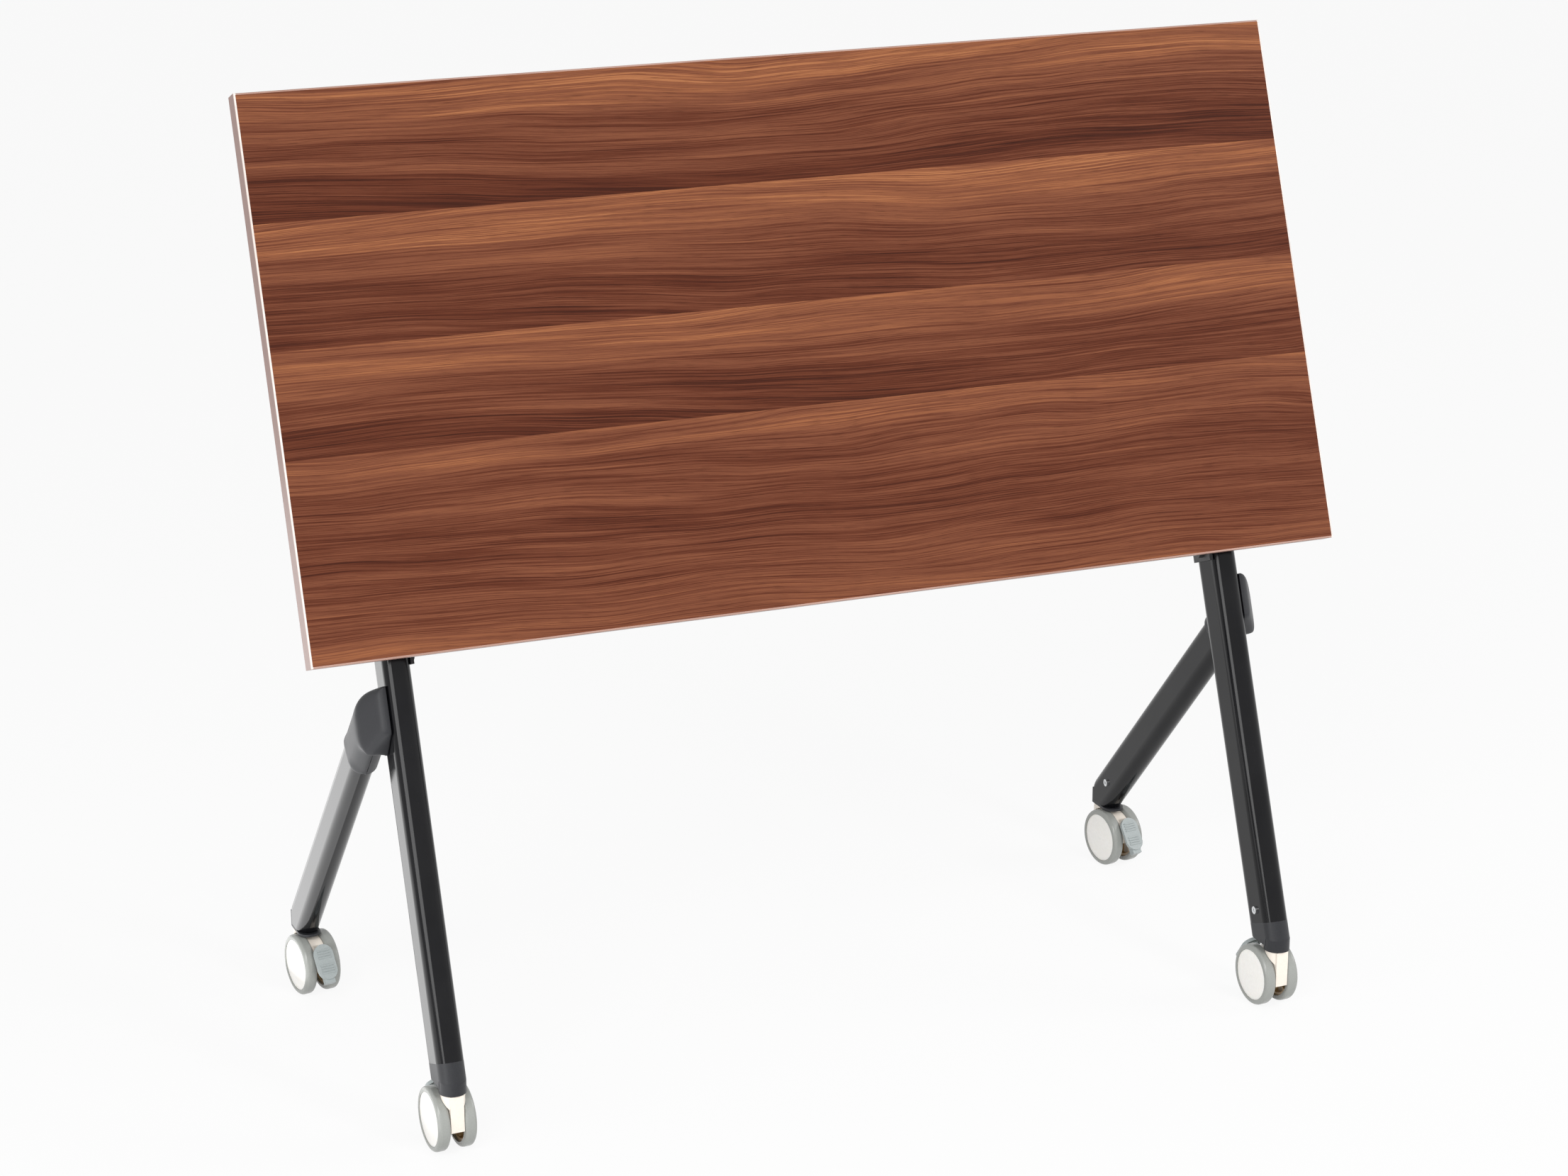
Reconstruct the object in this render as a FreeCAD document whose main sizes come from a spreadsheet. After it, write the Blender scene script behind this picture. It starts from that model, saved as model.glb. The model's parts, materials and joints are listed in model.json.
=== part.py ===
import FreeCAD, Part
import math
import os
import re

import Sketcher

# Flip-top folding desk, stored position: the worktop stands upright on two lambda-shaped leg sets.
# Frame: X along the worktop, -Y towards the work surface's side, Z up, origin on the floor.

Vector = FreeCAD.Vector
Rotation = FreeCAD.Rotation
Placement = FreeCAD.Placement
X_AXIS = Vector(1, 0, 0)
Z_AXIS = Vector(0, 0, 1)

# Driving dimensions in millimetres and degrees.
SIZES = [
    ("top_width", 1200, "length of the worktop"),
    ("top_depth", 600, "depth of the worktop"),
    ("top_thick", 25, "thickness of the worktop"),
    ("band_thick", 2, "thickness of the edge band"),
    ("band_round", 1.5, "rounded arris of the edge band"),
    ("use_height", 750, "height of the work surface when it is flat"),
    ("lean", 21, "lean of the front legs and of the stored worktop"),
    ("pivot_drop", 48, "flip pivot below the worktop's underside"),
    ("pivot_setback", 190, "flip pivot from the worktop's lower edge"),
    ("pivot_y", -17.1, "flip pivot along the base"),
    ("main_x", 492.5, "front leg from the middle of the desk"),
    ("main_deep", 56, "front leg tube, long way of its flat-oval section"),
    ("main_wide", 30, "front leg tube, short way"),
    ("main_behind", 12, "front leg axis behind the flip pivot"),
    ("tube_wall", 1.5, "wall of the leg and beam tubes"),
    ("rear_deep", 48, "rear leg tube, long way of its flat-oval section"),
    ("rear_wide", 26, "rear leg tube, short way"),
    ("rear_lean", 43, "forward lean of the rear legs"),
    ("rear_foot_y", 226.6, "rear leg axis along the base at the foot level"),
    ("foot_level", 100, "height at which the rear leg axis is placed"),
    ("lap_gap", 0.5, "rear leg to front leg where they lap"),
    ("seat", 0.3, "gap between pieces that seat on each other"),
    ("fit", 0.1, "radial gap of pins, screws and stems"),
    ("bracket_wide", 90, "worktop bracket across the leg"),
    ("bracket_long", 220, "worktop bracket along the worktop's depth"),
    ("sheet_steel", 4, "steel plate of brackets and end plates"),
    ("ear_gap", 0.5, "leg head to bracket ear, each side"),
    ("pin_d", 12, "flip pivot pin"),
    ("pin_head_d", 20, "flip pivot pin head"),
    ("pin_head_thick", 4, "flip pivot pin head thickness"),
    ("bush_wall", 2, "wall of the pivot bush"),
    ("screw_d", 4, "wood screw shank"),
    ("screw_head_d", 9, "wood screw head"),
    ("screw_head_thick", 2.5, "wood screw head thickness"),
    ("screw_bite", 16, "wood screw depth in the worktop"),
    ("screw_side", 32, "wood screw from the bracket's middle"),
    ("screw_step", 88, "pitch of the wood screws"),
    ("head_radius", 31, "round of the leg head about the pivot"),
    ("head_collar", 32, "pivot above the tube's upper end"),
    ("head_plug", 52, "leg head inside the tube"),
    ("stop_long", 22, "length of a stop heel"),
    ("stop_gap", 0.4, "stop heel to bracket plate at the end of travel"),
    ("hook_wide", 10, "latch hook along the shaft"),
    ("hook_gap", 0.5, "latch hook to the leg head"),
    ("track_start", 27, "angle at which the latch track leaves the leg head's round"),
    ("notch_deep", 6, "latch notch in the leg head"),
    ("shaft_d", 10, "release shaft"),
    ("shaft_y", -20, "release shaft behind the flip pivot, towards the legs"),
    ("shaft_z", 62, "release shaft along the worktop from the flip pivot"),
    ("handle_wide", 64, "release handle along the shaft"),
    ("handle_long", 84, "release handle from the shaft"),
    ("handle_thick", 5, "release handle blade"),
    ("handle_inset", 92, "release handle from the leg's middle"),
    ("spring_wire", 2.2, "torsion spring wire"),
    ("spring_d", 15, "torsion spring mean diameter"),
    ("spring_turns", 5, "torsion spring turns"),
    ("spring_pitch", 3.2, "torsion spring pitch"),
    ("beam_deep", 60, "crossbeam along the legs"),
    ("beam_wide", 30, "crossbeam across the legs"),
    ("beam_drop", 140, "crossbeam below the flip pivot along the legs"),
    ("beam_plate_long", 112, "crossbeam end plate along the legs"),
    ("beam_plate_deep", 40, "crossbeam end plate across the legs"),
    ("bolt_d", 8, "frame bolt shank"),
    ("bolt_head_d", 13, "frame bolt head"),
    ("bolt_head_thick", 5, "frame bolt head thickness"),
    ("beam_bolt_step", 90, "pitch of the crossbeam bolts"),
    ("knee_bolt_d", 6, "knee bolt shank"),
    ("knee_bolt_head_d", 10, "knee bolt head"),
    ("knee_bolt_step", 14, "pitch of the knee bolts"),
    ("nut_plate_wide", 20, "nut plate across the tube"),
    ("nut_plate_margin", 10, "nut plate past its bolts"),
    ("knee_wall", 3, "knee cover over the rear leg"),
    ("knee_sleeve", 80, "knee cover's sleeve down the rear leg from the crossing"),
    ("knee_front", 19.6, "knee cover's front face before the crossing, square to the front leg"),
    ("knee_nose", 30, "top of the knee cover's front face, along the front leg"),
    ("knee_low", 20, "bottom of the knee cover's front face, along the front leg"),
    ("knee_crotch", 43, "knee cover's lowest corner at the front leg, along that leg"),
    ("knee_crotch_back", 9, "knee cover's lowest corner behind the front leg's axis"),
    ("knee_shoulder", 20, "start of the knee cover's rounded back below the crossing"),
    ("knee_arc", 88, "round of the knee cover's back"),
    ("knee_ridge", 8, "front face of the knee cover across the desk"),
    ("knee_bevel", 34, "length of the knee cover's slanting outer face"),
    ("knee_corner", 7, "rounded lower corners of the knee cover"),
    ("knee_round", 15.5, "rounded outer edge of the knee cover's back"),
    ("knee_soft", 2.5, "softened edges of the slanting face"),
    ("knee_tube_inset", 6, "rear leg's slanting end behind the cover's outer face"),
    ("knee_tube_top", 14, "rear leg's square end above the crossing"),
    ("swivel_forward", 20, "front caster swivel before the front tube's lower end"),
    ("swivel_back", 18.5, "rear caster swivel behind the rear leg's axis"),
    ("cap_seam", 98, "height of the front tube's lower end on its axis"),
    ("cap_bottom", 77, "underside of the front foot cap"),
    ("boss_bottom", 72, "underside of the caster socket"),
    ("boss_d", 29.4, "caster socket's boss"),
    ("foot_plug", 36, "foot cap inside its tube"),
    ("plug_front", 14.7, "front face of the rear foot plug before the rear leg's axis"),
    ("plug_back", 28.3, "rear face of the rear foot plug behind the rear leg's axis"),
    ("plug_corner", 12, "rounded front corners of the rear foot plug"),
    ("plug_plate", 3, "plate of the rear foot plug"),
    ("plug_rear_top", 92, "upper end of the rear foot plug's rear plate"),
    ("leg_screw_d", 5, "leg screw shank"),
    ("leg_screw_head_d", 9, "leg screw head"),
    ("leg_screw_head_thick", 2.2, "leg screw head thickness"),
    ("leg_screw_bite", 8, "leg screw inside the plug"),
    ("leg_screw_up", 15, "leg screw from the tube's end"),
    ("stem_d", 10, "caster stem"),
    ("stem_top", 108, "upper end of the caster stem"),
    ("stem_low", 46, "lower end of the caster stem"),
    ("trail", 19.5, "caster axle behind its swivel"),
    ("front_yaw", 3, "front casters turned about their stems"),
    ("rear_yaw", 8, "rear casters turned about their stems"),
    ("wheel_d", 71, "caster wheel"),
    ("wheel_wide", 13.5, "caster wheel along its axle"),
    ("wheel_gap", 16, "space between the two wheels of a caster"),
    ("hub_d", 59, "wheel hub"),
    ("hub_skin", 2.5, "outer disc of the hub"),
    ("hub_rim", 3, "rim of the hub"),
    ("hub_boss_d", 18, "boss of the hub"),
    ("hub_ribs", 8, "ribs of the hub"),
    ("hub_rib_thick", 2, "thickness of a hub rib"),
    ("hub_dome", 1.2, "dome of the hub's outer face"),
    ("shoulder", 4, "rounded shoulder of the tyre"),
    ("axle_d", 8, "caster axle"),
    ("hood_wide", 15, "caster hood between the wheels"),
    ("hood_top", 71.6, "upper end of the caster hood"),
    ("collar_d", 26, "caster hood's collar"),
    ("collar_low", 44, "lower end of the collar"),
    ("fin_front", 13, "hood's front face before the swivel"),
    ("fin_low", 30, "lower end of the hood's front face"),
    ("hood_under", 8, "wheel radius over the hood's arched back"),
    ("well", 1, "hood's clearance to the wheels"),
    ("pedal_y", 22, "pedal pivot behind the axle"),
    ("pedal_z", 14, "pedal pivot above the axle"),
    ("pedal_tilt", 36, "tilt of the pedal's plate"),
    ("pedal_long", 42, "pedal plate"),
    ("pedal_wide", 23, "pedal plate along the axle"),
    ("pedal_thick", 4, "pedal plate thickness"),
    ("pedal_out", 12, "pedal plate from its pivot"),
    ("pedal_low", 31.5, "pedal plate below its pivot"),
    ("pedal_heel", 12, "heel behind the lower end of the pedal plate, along the axle"),
    ("pedal_arm", 9, "pedal arm along the axle"),
    ("pedal_slot", 10, "slot in the hood for the pedal arm"),
    ("pedal_pin_d", 5, "pedal trunnion"),
    ("rib_high", 1, "grip rib height"),
    ("rib_thick", 1.4, "grip rib thickness"),
    ("rib_step", 3, "pitch of the grip ribs"),
]
ALIASES = {alias for alias, value, note in SIZES}

doc = FreeCAD.newDocument("folding_desk")
sheet = doc.addObject("Spreadsheet::Sheet", "dim")
for row, (alias, value, note) in enumerate(SIZES, 1):
    sheet.set(f"A{row}", note)
    sheet.set(f"B{row}", str(value))
    sheet.setAlias(f"B{row}", alias)
doc.recompute()

nodes = []


def cells(expression):
    """Writes an expression in aliases as one that reads the sheet."""
    return re.sub(r"[a-z]\w*", lambda word: ("dim." if word.group() in ALIASES else "") + word.group(), expression)


def number(expression):
    return float(sheet.evalExpression(cells(expression)))


def bind(target, prop, expression):
    target.setExpression(prop, cells(expression))


def keep(item, label, placement=None):
    """Registers an object as a sub-part under its own label."""
    item.Label = label
    if placement is not None:
        item.Placement = placement
    nodes.append(item)
    return item


def new_body(label, placement=Placement()):
    return keep(doc.addObject("PartDesign::Body", label), label, placement)


def origin_part(body, role):
    """A plane or an axis of the body's own origin."""
    return next(item for item in body.Origin.OriginFeatures if item.Role == role)


def sketch(body, plane, at=("0", "0", "0"), tilt="0"):
    """A sketch on an origin plane, shifted along the plane's own axes and tilted about its first one."""
    drawn = body.newObject("Sketcher::SketchObject", "sketch")
    support = origin_part(body, plane)
    drawn.AttachmentSupport = [(support, "")]
    drawn.MapMode = "FlatFace"
    drawn.AttachmentOffset = Placement(Vector(), Rotation(X_AXIS, number(tilt) or 1))
    for axis, shift in zip("xyz", at):
        bind(drawn, f"AttachmentOffset.Base.{axis}", shift)
    bind(drawn, "AttachmentOffset.Rotation.Angle", tilt)
    return drawn


def fix(drawn, geometry, point, x, y):
    """Ties a point of the sketch to two expressions."""
    for kind, place in (("DistanceX", x), ("DistanceY", y)):
        index = drawn.addConstraint(Sketcher.Constraint(kind, -1, 1, geometry, point, number(place)))
        bind(drawn, f"Constraints[{index}]", place)


def arc_between(start, end, radius, turn):
    """Minor arc from start to end, turning left for turn 1 and right for turn -1."""
    chord = end - start
    rise = math.sqrt(max(radius ** 2 - chord.Length ** 2 / 4, 0))
    normal = Vector(-chord.y, chord.x, 0).normalize()
    centre = (start + end) / 2 + normal * rise * turn
    middle = centre - normal * radius * turn
    return Part.Arc(start, middle, end), centre


def outline(drawn, points):
    """Closed outline. A point (x, y) is reached by a line, a point (x, y, radius, turn) by an arc."""
    corners = [Vector(number(point[0]), number(point[1]), 0) for point in points]
    first = drawn.GeometryCount
    ends = []
    for index, point in enumerate(points):
        start = corners[index - 1]
        end = corners[index]
        if len(point) == 2:
            drawn.addGeometry(Part.LineSegment(start, end))
            ends.append((1, 2))
        else:
            turn = point[3]
            radius = number(point[2])
            arc, centre = arc_between(start, end, radius, turn)
            drawn.addGeometry(arc)
            ends.append((1, 2) if turn > 0 else (2, 1))
    count = len(points)
    for index in range(count):
        following = (index + 1) % count
        drawn.addConstraint(Sketcher.Constraint(
            "Coincident", first + index, ends[index][1], first + following, ends[following][0]))
    for index, point in enumerate(points):
        fix(drawn, first + index, ends[index][1], point[0], point[1])
        if len(point) == 4:
            radius = drawn.addConstraint(Sketcher.Constraint("Radius", first + index, number(point[2])))
            bind(drawn, f"Constraints[{radius}]", point[2])
    return drawn


def box_outline(drawn, x_low, x_high, y_low, y_high):
    return outline(drawn, [(x_low, y_low), (x_high, y_low), (x_high, y_high), (x_low, y_high)])


def circle(drawn, x, y, diameter):
    index = drawn.addGeometry(Part.Circle(Vector(number(x), number(y), 0), Z_AXIS, number(diameter) / 2))
    fix(drawn, index, 3, x, y)
    size = drawn.addConstraint(Sketcher.Constraint("Diameter", index, number(diameter)))
    bind(drawn, f"Constraints[{size}]", diameter)
    return drawn


def oval(drawn, wide, deep, middle="0"):
    """Flat-oval section: wide along x, deep along y, with half-round ends."""
    radius = number(wide) / 2
    reach = (number(deep) - number(wide)) / 2
    centre = number(middle)
    low = Vector(0, centre - reach, 0)
    high = Vector(0, centre + reach, 0)
    side = Vector(radius, 0, 0)
    tip = Vector(0, radius, 0)
    first = drawn.GeometryCount
    drawn.addGeometry(Part.LineSegment(low + side, high + side))
    drawn.addGeometry(Part.Arc(high + side, high + tip, high - side))
    drawn.addGeometry(Part.LineSegment(high - side, low - side))
    drawn.addGeometry(Part.Arc(low - side, low - tip, low + side))
    for index in range(4):
        following = (index + 1) % 4
        drawn.addConstraint(Sketcher.Constraint("Tangent", first + index, 2, first + following, 1))
    drawn.addConstraint(Sketcher.Constraint("Vertical", first))
    fix(drawn, first + 1, 3, "0", f"{middle} + ({deep} - ({wide})) / 2")
    fix(drawn, first + 3, 3, "0", f"{middle} - ({deep} - ({wide})) / 2")
    round_end = drawn.addConstraint(Sketcher.Constraint("Radius", first + 1, radius))
    bind(drawn, f"Constraints[{round_end}]", f"({wide}) / 2")
    return drawn


def feature(body, kind, drawn):
    made = body.newObject(f"PartDesign::{kind}", kind.lower())
    made.Profile = drawn
    return made


def pad(body, drawn, length, middle=False, back=False):
    """Adds material along the sketch's normal, against it, or half to each side."""
    made = feature(body, "Pad", drawn)
    made.SideType = "Symmetric" if middle else "One side"
    made.Reversed = back
    bind(made, "Length", length)
    return made


def pocket(body, drawn, length, middle=False, along=False):
    """Cuts material against the sketch's normal, along it, or half to each side, and tests that it cut."""
    doc.recompute()
    before = body.Shape.Volume
    made = feature(body, "Pocket", drawn)
    made.SideType = "Symmetric" if middle else "One side"
    made.Reversed = along
    bind(made, "Length", length)
    doc.recompute()
    if not body.Shape.Volume < before - 1e-3:
        raise RuntimeError(f"{body.Label}: a cut removed nothing")
    return made


def revolve(body, drawn):
    made = feature(body, "Revolution", drawn)
    made.ReferenceAxis = (drawn, ["H_Axis"])
    made.Angle = 360
    return made


def fillet(body, radius, chosen):
    """Rounds the edges of the body's tip for which chosen(edge) holds."""
    doc.recompute()
    tip = body.Tip
    names = [f"Edge{index}" for index, edge in enumerate(tip.Shape.Edges, 1) if chosen(edge)]
    if not names:
        raise RuntimeError(f"{body.Label}: no edge to round")
    made = body.newObject("PartDesign::Fillet", "fillet")
    made.Base = (tip, names)
    bind(made, "Radius", radius)
    return made


def is_along(edge, axis):
    """True for a straight edge along an axis."""
    if edge.Curve.TypeId != "Part::GeomLine":
        return False
    return abs(edge.Curve.Direction.dot(axis)) > 0.999


def rod(diameter, length, placement, back="0"):
    """Round bar along its own Z, from -back upwards."""
    bar = doc.addObject("Part::Cylinder", "rod")
    bind(bar, "Radius", f"({diameter}) / 2")
    bind(bar, "Height", length)
    bar.Placement = placement.multiply(Placement(Vector(0, 0, -number(back)), Rotation()))
    return bar


def fuse(*items):
    joined = doc.addObject("Part::MultiFuse", "fuse")
    joined.Shapes = list(items)
    return joined


def cut(base, tool):
    made = doc.addObject("Part::Cut", "cut")
    made.Base = base
    made.Tool = tool
    return made


def fastener(head_d, head_thick, shank_d, shank_length, placement):
    """Pan-head screw or bolt: its head's seat is at the placement, its shank runs along Z."""
    head = rod(head_d, head_thick, placement, back=head_thick)
    shank = rod(shank_d, f"{shank_length} + {head_thick} / 2", placement, back=f"{head_thick} / 2")
    return fuse(head, shank)


def group(label, items):
    """Identical small pieces under one name, each a separate solid."""
    gathered = doc.addObject("Part::Compound", label)
    gathered.Links = items
    return keep(gathered, label)


# Places that several pieces share.
PIVOT_Z = "(use_height - top_thick - pivot_drop)"
SIDES = (("left", -1), ("right", 1))
REAR_X = "(main_x + main_wide / 2 + lap_gap + rear_wide / 2)"
TUBE_LOW = f"((cap_seam - {PIVOT_Z} + main_behind * sin(lean)) / cos(lean))"
SEAM_Y = f"(pivot_y + {TUBE_LOW} * sin(lean) + main_behind * cos(lean))"
FRONT_SWIVEL = f"({SEAM_Y} - swivel_forward)"
REAR_SWIVEL = "(rear_foot_y + swivel_back)"
PLUG_FRONT = "(rear_foot_y - plug_front)"
PLUG_REAR = "(rear_foot_y + plug_back)"
MAIN_AT_FLOOR = f"(pivot_y + main_behind / cos(lean) - {PIVOT_Z} * tan(lean))"
REAR_AT_FLOOR = "(rear_foot_y + foot_level * tan(rear_lean))"
KNEE_Z = f"(({REAR_AT_FLOOR} - {MAIN_AT_FLOOR}) / (tan(lean) + tan(rear_lean)))"
KNEE_Y = f"({MAIN_AT_FLOOR} + {KNEE_Z} * tan(lean))"
KNEE_ALONG = f"((({KNEE_Y} - pivot_y) * sin(lean)) + ({KNEE_Z} - {PIVOT_Z}) * cos(lean))"
FAR = "top_width"

LEANED = Placement(Vector(0, number("pivot_y"), number(PIVOT_Z)), Rotation(X_AXIS, -number("lean")))


def leaned(x="0", y="0", z="0", turn=Rotation()):
    """Placement in the frame of the flip pivot: z up along the front legs, y towards the back."""
    return LEANED.multiply(Placement(Vector(number(x), number(y), number(z)), turn))


def rear_local(y, z):
    """A point of the YZ plane in the frame of a rear leg, z up along the leg."""
    back = f"(({y}) - rear_foot_y)"
    up = f"(({z}) - foot_level)"
    across = f"({back} * cos(rear_lean) + {up} * sin(rear_lean))"
    along = f"(-{back} * sin(rear_lean) + {up} * cos(rear_lean))"
    return across, along


TO_RIGHT = Rotation(Vector(0, 1, 0), 90)
TO_LEFT = Rotation(Vector(0, 1, 0), -90)
TO_FRONT = Rotation(X_AXIS, 90)


# Worktop board with pilot holes for the bracket screws.
SCREW_PLACES = [(side, across, step) for side in (-1, 1) for across in (-1, 1) for step in (-1, 0, 1)]


def worktop_board():
    body = new_body("tabletop_board", LEANED)
    half = "(top_width / 2 - band_thick)"
    low = "(band_thick - pivot_setback)"
    high = "(top_depth - pivot_setback - band_thick)"
    face = box_outline(sketch(body, "XZ_Plane", ("0", "0", "pivot_drop")), f"-{half}", half, low, high)
    pad(body, face, "top_thick")
    holes = sketch(body, "XZ_Plane", ("0", "0", "pivot_drop"))
    for side, across, step in SCREW_PLACES:
        circle(holes, f"{side} * main_x + {across} * screw_side", f"screw_step * {step}", "screw_d + 2 * fit")
    pocket(body, holes, "screw_bite + 1", along=True)


def edge_bands():
    """Four strips of edge band: the side strips run the full depth, the others fit between them."""
    front = "(-pivot_drop - top_thick)"
    back = "(-pivot_drop)"
    strips = []
    for side in (-1, 1):
        body = doc.addObject("PartDesign::Body", "side_strip")
        outer = f"{side} * top_width / 2"
        inner = f"{side} * (top_width / 2 - band_thick)"
        shy = f"{side} * (top_width / 2 - band_round)"
        section = sketch(body, "XY_Plane", ("0", "0", "-pivot_setback"))
        outline(section, [(inner, front), (shy, front), (outer, f"{front} + band_round", "band_round", side),
                          (outer, f"{back} - band_round"), (shy, back, "band_round", side), (inner, back)])
        pad(body, section, "top_depth")
        strips.append(body)
    for side, edge in ((-1, "(-pivot_setback)"), (1, "(top_depth - pivot_setback)")):
        body = doc.addObject("PartDesign::Body", "end_strip")
        inner = f"{edge} - {side} * band_thick"
        shy = f"{edge} - {side} * band_round"
        section = sketch(body, "YZ_Plane")
        outline(section, [(front, inner), (front, shy), (f"{front} + band_round", edge, "band_round", -side),
                          (f"{back} - band_round", edge), (back, shy, "band_round", -side), (back, inner)])
        pad(body, section, "top_width - 2 * band_thick", middle=True)
        strips.append(body)
    group("edge_bands", strips).Placement = LEANED


# Worktop brackets: a flanged plate under the worktop with two ears for pivot pin and release shaft.
PLATE_FACE = "(sheet_steel - pivot_drop)"
EAR_INNER = "(main_wide / 2 + ear_gap)"
EAR_OUTER = f"({EAR_INNER} + sheet_steel)"


def top_bracket(name, side):
    body = new_body(f"top_bracket_{name}", leaned(x=f"{side} * main_x"))
    base = sketch(body, "XZ_Plane", ("0", "0", "pivot_drop"))
    box_outline(base, "-bracket_wide / 2", "bracket_wide / 2", "-bracket_long / 2", "bracket_long / 2")
    pad(body, base, "sheet_steel", back=True)
    ears = outline(sketch(body, "YZ_Plane"), [
        ("-pivot_drop", "-pin_d * 3"),
        ("-pin_d * 0.7", "-pin_d * 2"),
        ("pin_d * 1.2", "-pin_d * 0.8"),
        ("pin_d * 1.2", "pin_d * 0.8"),
        ("shaft_y + shaft_d", "shaft_z + shaft_d * 0.8"),
        ("shaft_y - shaft_d * 0.6", "shaft_z + shaft_d * 1.4"),
        ("-pivot_drop", "shaft_z + shaft_d * 2.6")])
    pad(body, ears, f"2 * {EAR_OUTER}", middle=True)
    throat = box_outline(sketch(body, "YZ_Plane"), PLATE_FACE, "main_deep", "-bracket_long", "bracket_long")
    pocket(body, throat, f"2 * {EAR_INNER}", middle=True)
    bores = sketch(body, "YZ_Plane")
    circle(bores, "0", "0", "pin_d + 2 * fit")
    circle(bores, "shaft_y", "shaft_z", "shaft_d + 2 * fit")
    pocket(body, bores, "bracket_wide", middle=True)
    holes = sketch(body, "XZ_Plane", ("0", "0", "pivot_drop"))
    for across in (-1, 1):
        for step in (-1, 0, 1):
            circle(holes, f"{across} * screw_side", f"screw_step * {step}", "screw_d + 2 * fit")
    pocket(body, holes, "2 * sheet_steel")


def bracket_fasteners():
    screws = []
    for side, across, step in SCREW_PLACES:
        place = leaned(f"{side} * main_x + {across} * screw_side", PLATE_FACE, f"screw_step * {step}", TO_FRONT)
        screws.append(fastener("screw_head_d", "screw_head_thick", "screw_d", "sheet_steel + screw_bite", place))
    group("bracket_screws", screws)
    pins = []
    for name, side in SIDES:
        place = leaned(x=f"{side} * main_x - {EAR_OUTER}", turn=TO_RIGHT)
        far_side = leaned(x=f"{side} * main_x + {EAR_OUTER}", turn=TO_RIGHT)
        shank = fastener("pin_head_d", "pin_head_thick", "pin_d", f"2 * {EAR_OUTER} + pin_head_thick / 2", place)
        pins.append(fuse(shank, rod("pin_head_d", "pin_head_thick", far_side)))
    group("pivot_pins", pins)


# Release bar: a shaft through both brackets with a latch hook at each leg head and two handles.
def release_shaft():
    place = leaned(f"-main_x - {EAR_OUTER} - shaft_d / 2", "shaft_y", "shaft_z", TO_RIGHT)
    keep(rod("shaft_d", f"2 * (main_x + {EAR_OUTER}) + shaft_d", place), "release_shaft")


def latch_hooks():
    """The tooth rides just clear of the leg head's rim and drops into its notch when the worktop is flat."""
    tip = "(head_radius + hook_gap)"
    hooks = []
    for name, side in SIDES:
        body = doc.addObject("PartDesign::Body", "latch_hook")
        body.Placement = leaned(x=f"{side} * main_x")
        blade = outline(sketch(body, "YZ_Plane"), [
            ("-notch_deep / 2", tip),
            ("notch_deep / 2", tip),
            ("notch_deep / 2 + 2", f"{tip} + notch_deep"),
            ("shaft_y + shaft_d", "shaft_z - shaft_d * 0.4"),
            ("shaft_y + shaft_d * 0.6", "shaft_z + shaft_d * 0.9"),
            ("shaft_y - shaft_d * 0.9", "shaft_z + shaft_d * 0.5"),
            ("shaft_y - shaft_d * 0.5", "shaft_z - shaft_d * 0.9"),
            ("-notch_deep / 2", f"{tip} + notch_deep")])
        pad(body, blade, "hook_wide", middle=True)
        pocket(body, circle(sketch(body, "YZ_Plane"), "shaft_y", "shaft_z", "shaft_d + 2 * fit"), FAR, middle=True)
        hooks.append(body)
    group("latch_hooks", hooks)


def release_handles():
    """Moulded paddle on a split sleeve, pulled towards the worktop to free the hooks."""
    handles = []
    for name, side in SIDES:
        body = doc.addObject("PartDesign::Body", "handle")
        body.Placement = leaned(f"{side} * (main_x - handle_inset)", "shaft_y", "shaft_z")
        sleeve = circle(sketch(body, "YZ_Plane"), "0", "0", "shaft_d * 1.9")
        pad(body, sleeve, "handle_wide", middle=True)
        blade = outline(sketch(body, "YZ_Plane"), [
            ("-handle_thick / 2", "0"),
            ("handle_thick / 2", "0"),
            ("handle_thick / 2", "handle_long - handle_thick"),
            ("handle_thick * 1.4", "handle_long"),
            ("handle_thick * 0.4", "handle_long"),
            ("-handle_thick / 2", "handle_long - handle_thick * 1.2")])
        pad(body, blade, "handle_wide", middle=True)
        bore = circle(sketch(body, "YZ_Plane"), "0", "0", "shaft_d + 2 * fit")
        pocket(body, bore, FAR, middle=True)
        fillet(body, "handle_thick * 1.6", lambda edge: is_corner_of_blade(edge))
        handles.append(body)
    group("release_handles", handles)


def is_corner_of_blade(edge):
    """The short edges across the handle's free end, at its two corners."""
    box = edge.BoundBox
    return box.ZMin > number("handle_long") - 0.01 and is_along(edge, Vector(0, 1, 0))


def helix_arcs(radius, pitch, turns):
    """Quarter-turn arcs of a helix along X, as one list of edges."""
    def at(quarter):
        angle = quarter * math.pi / 2
        return Vector(pitch * quarter / 4, radius * math.cos(angle), radius * math.sin(angle))
    quarters = int(round(turns * 4))
    return [Part.Arc(at(step), at(step + 0.5), at(step + 1)).toShape() for step in range(quarters)]


def ring(radius, middle, direction):
    """Round section of a spring wire, of twelve equal arcs."""
    return Part.Wire([Part.makeCircle(radius, middle, direction, start, start + 30) for start in range(0, 360, 30)])


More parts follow.
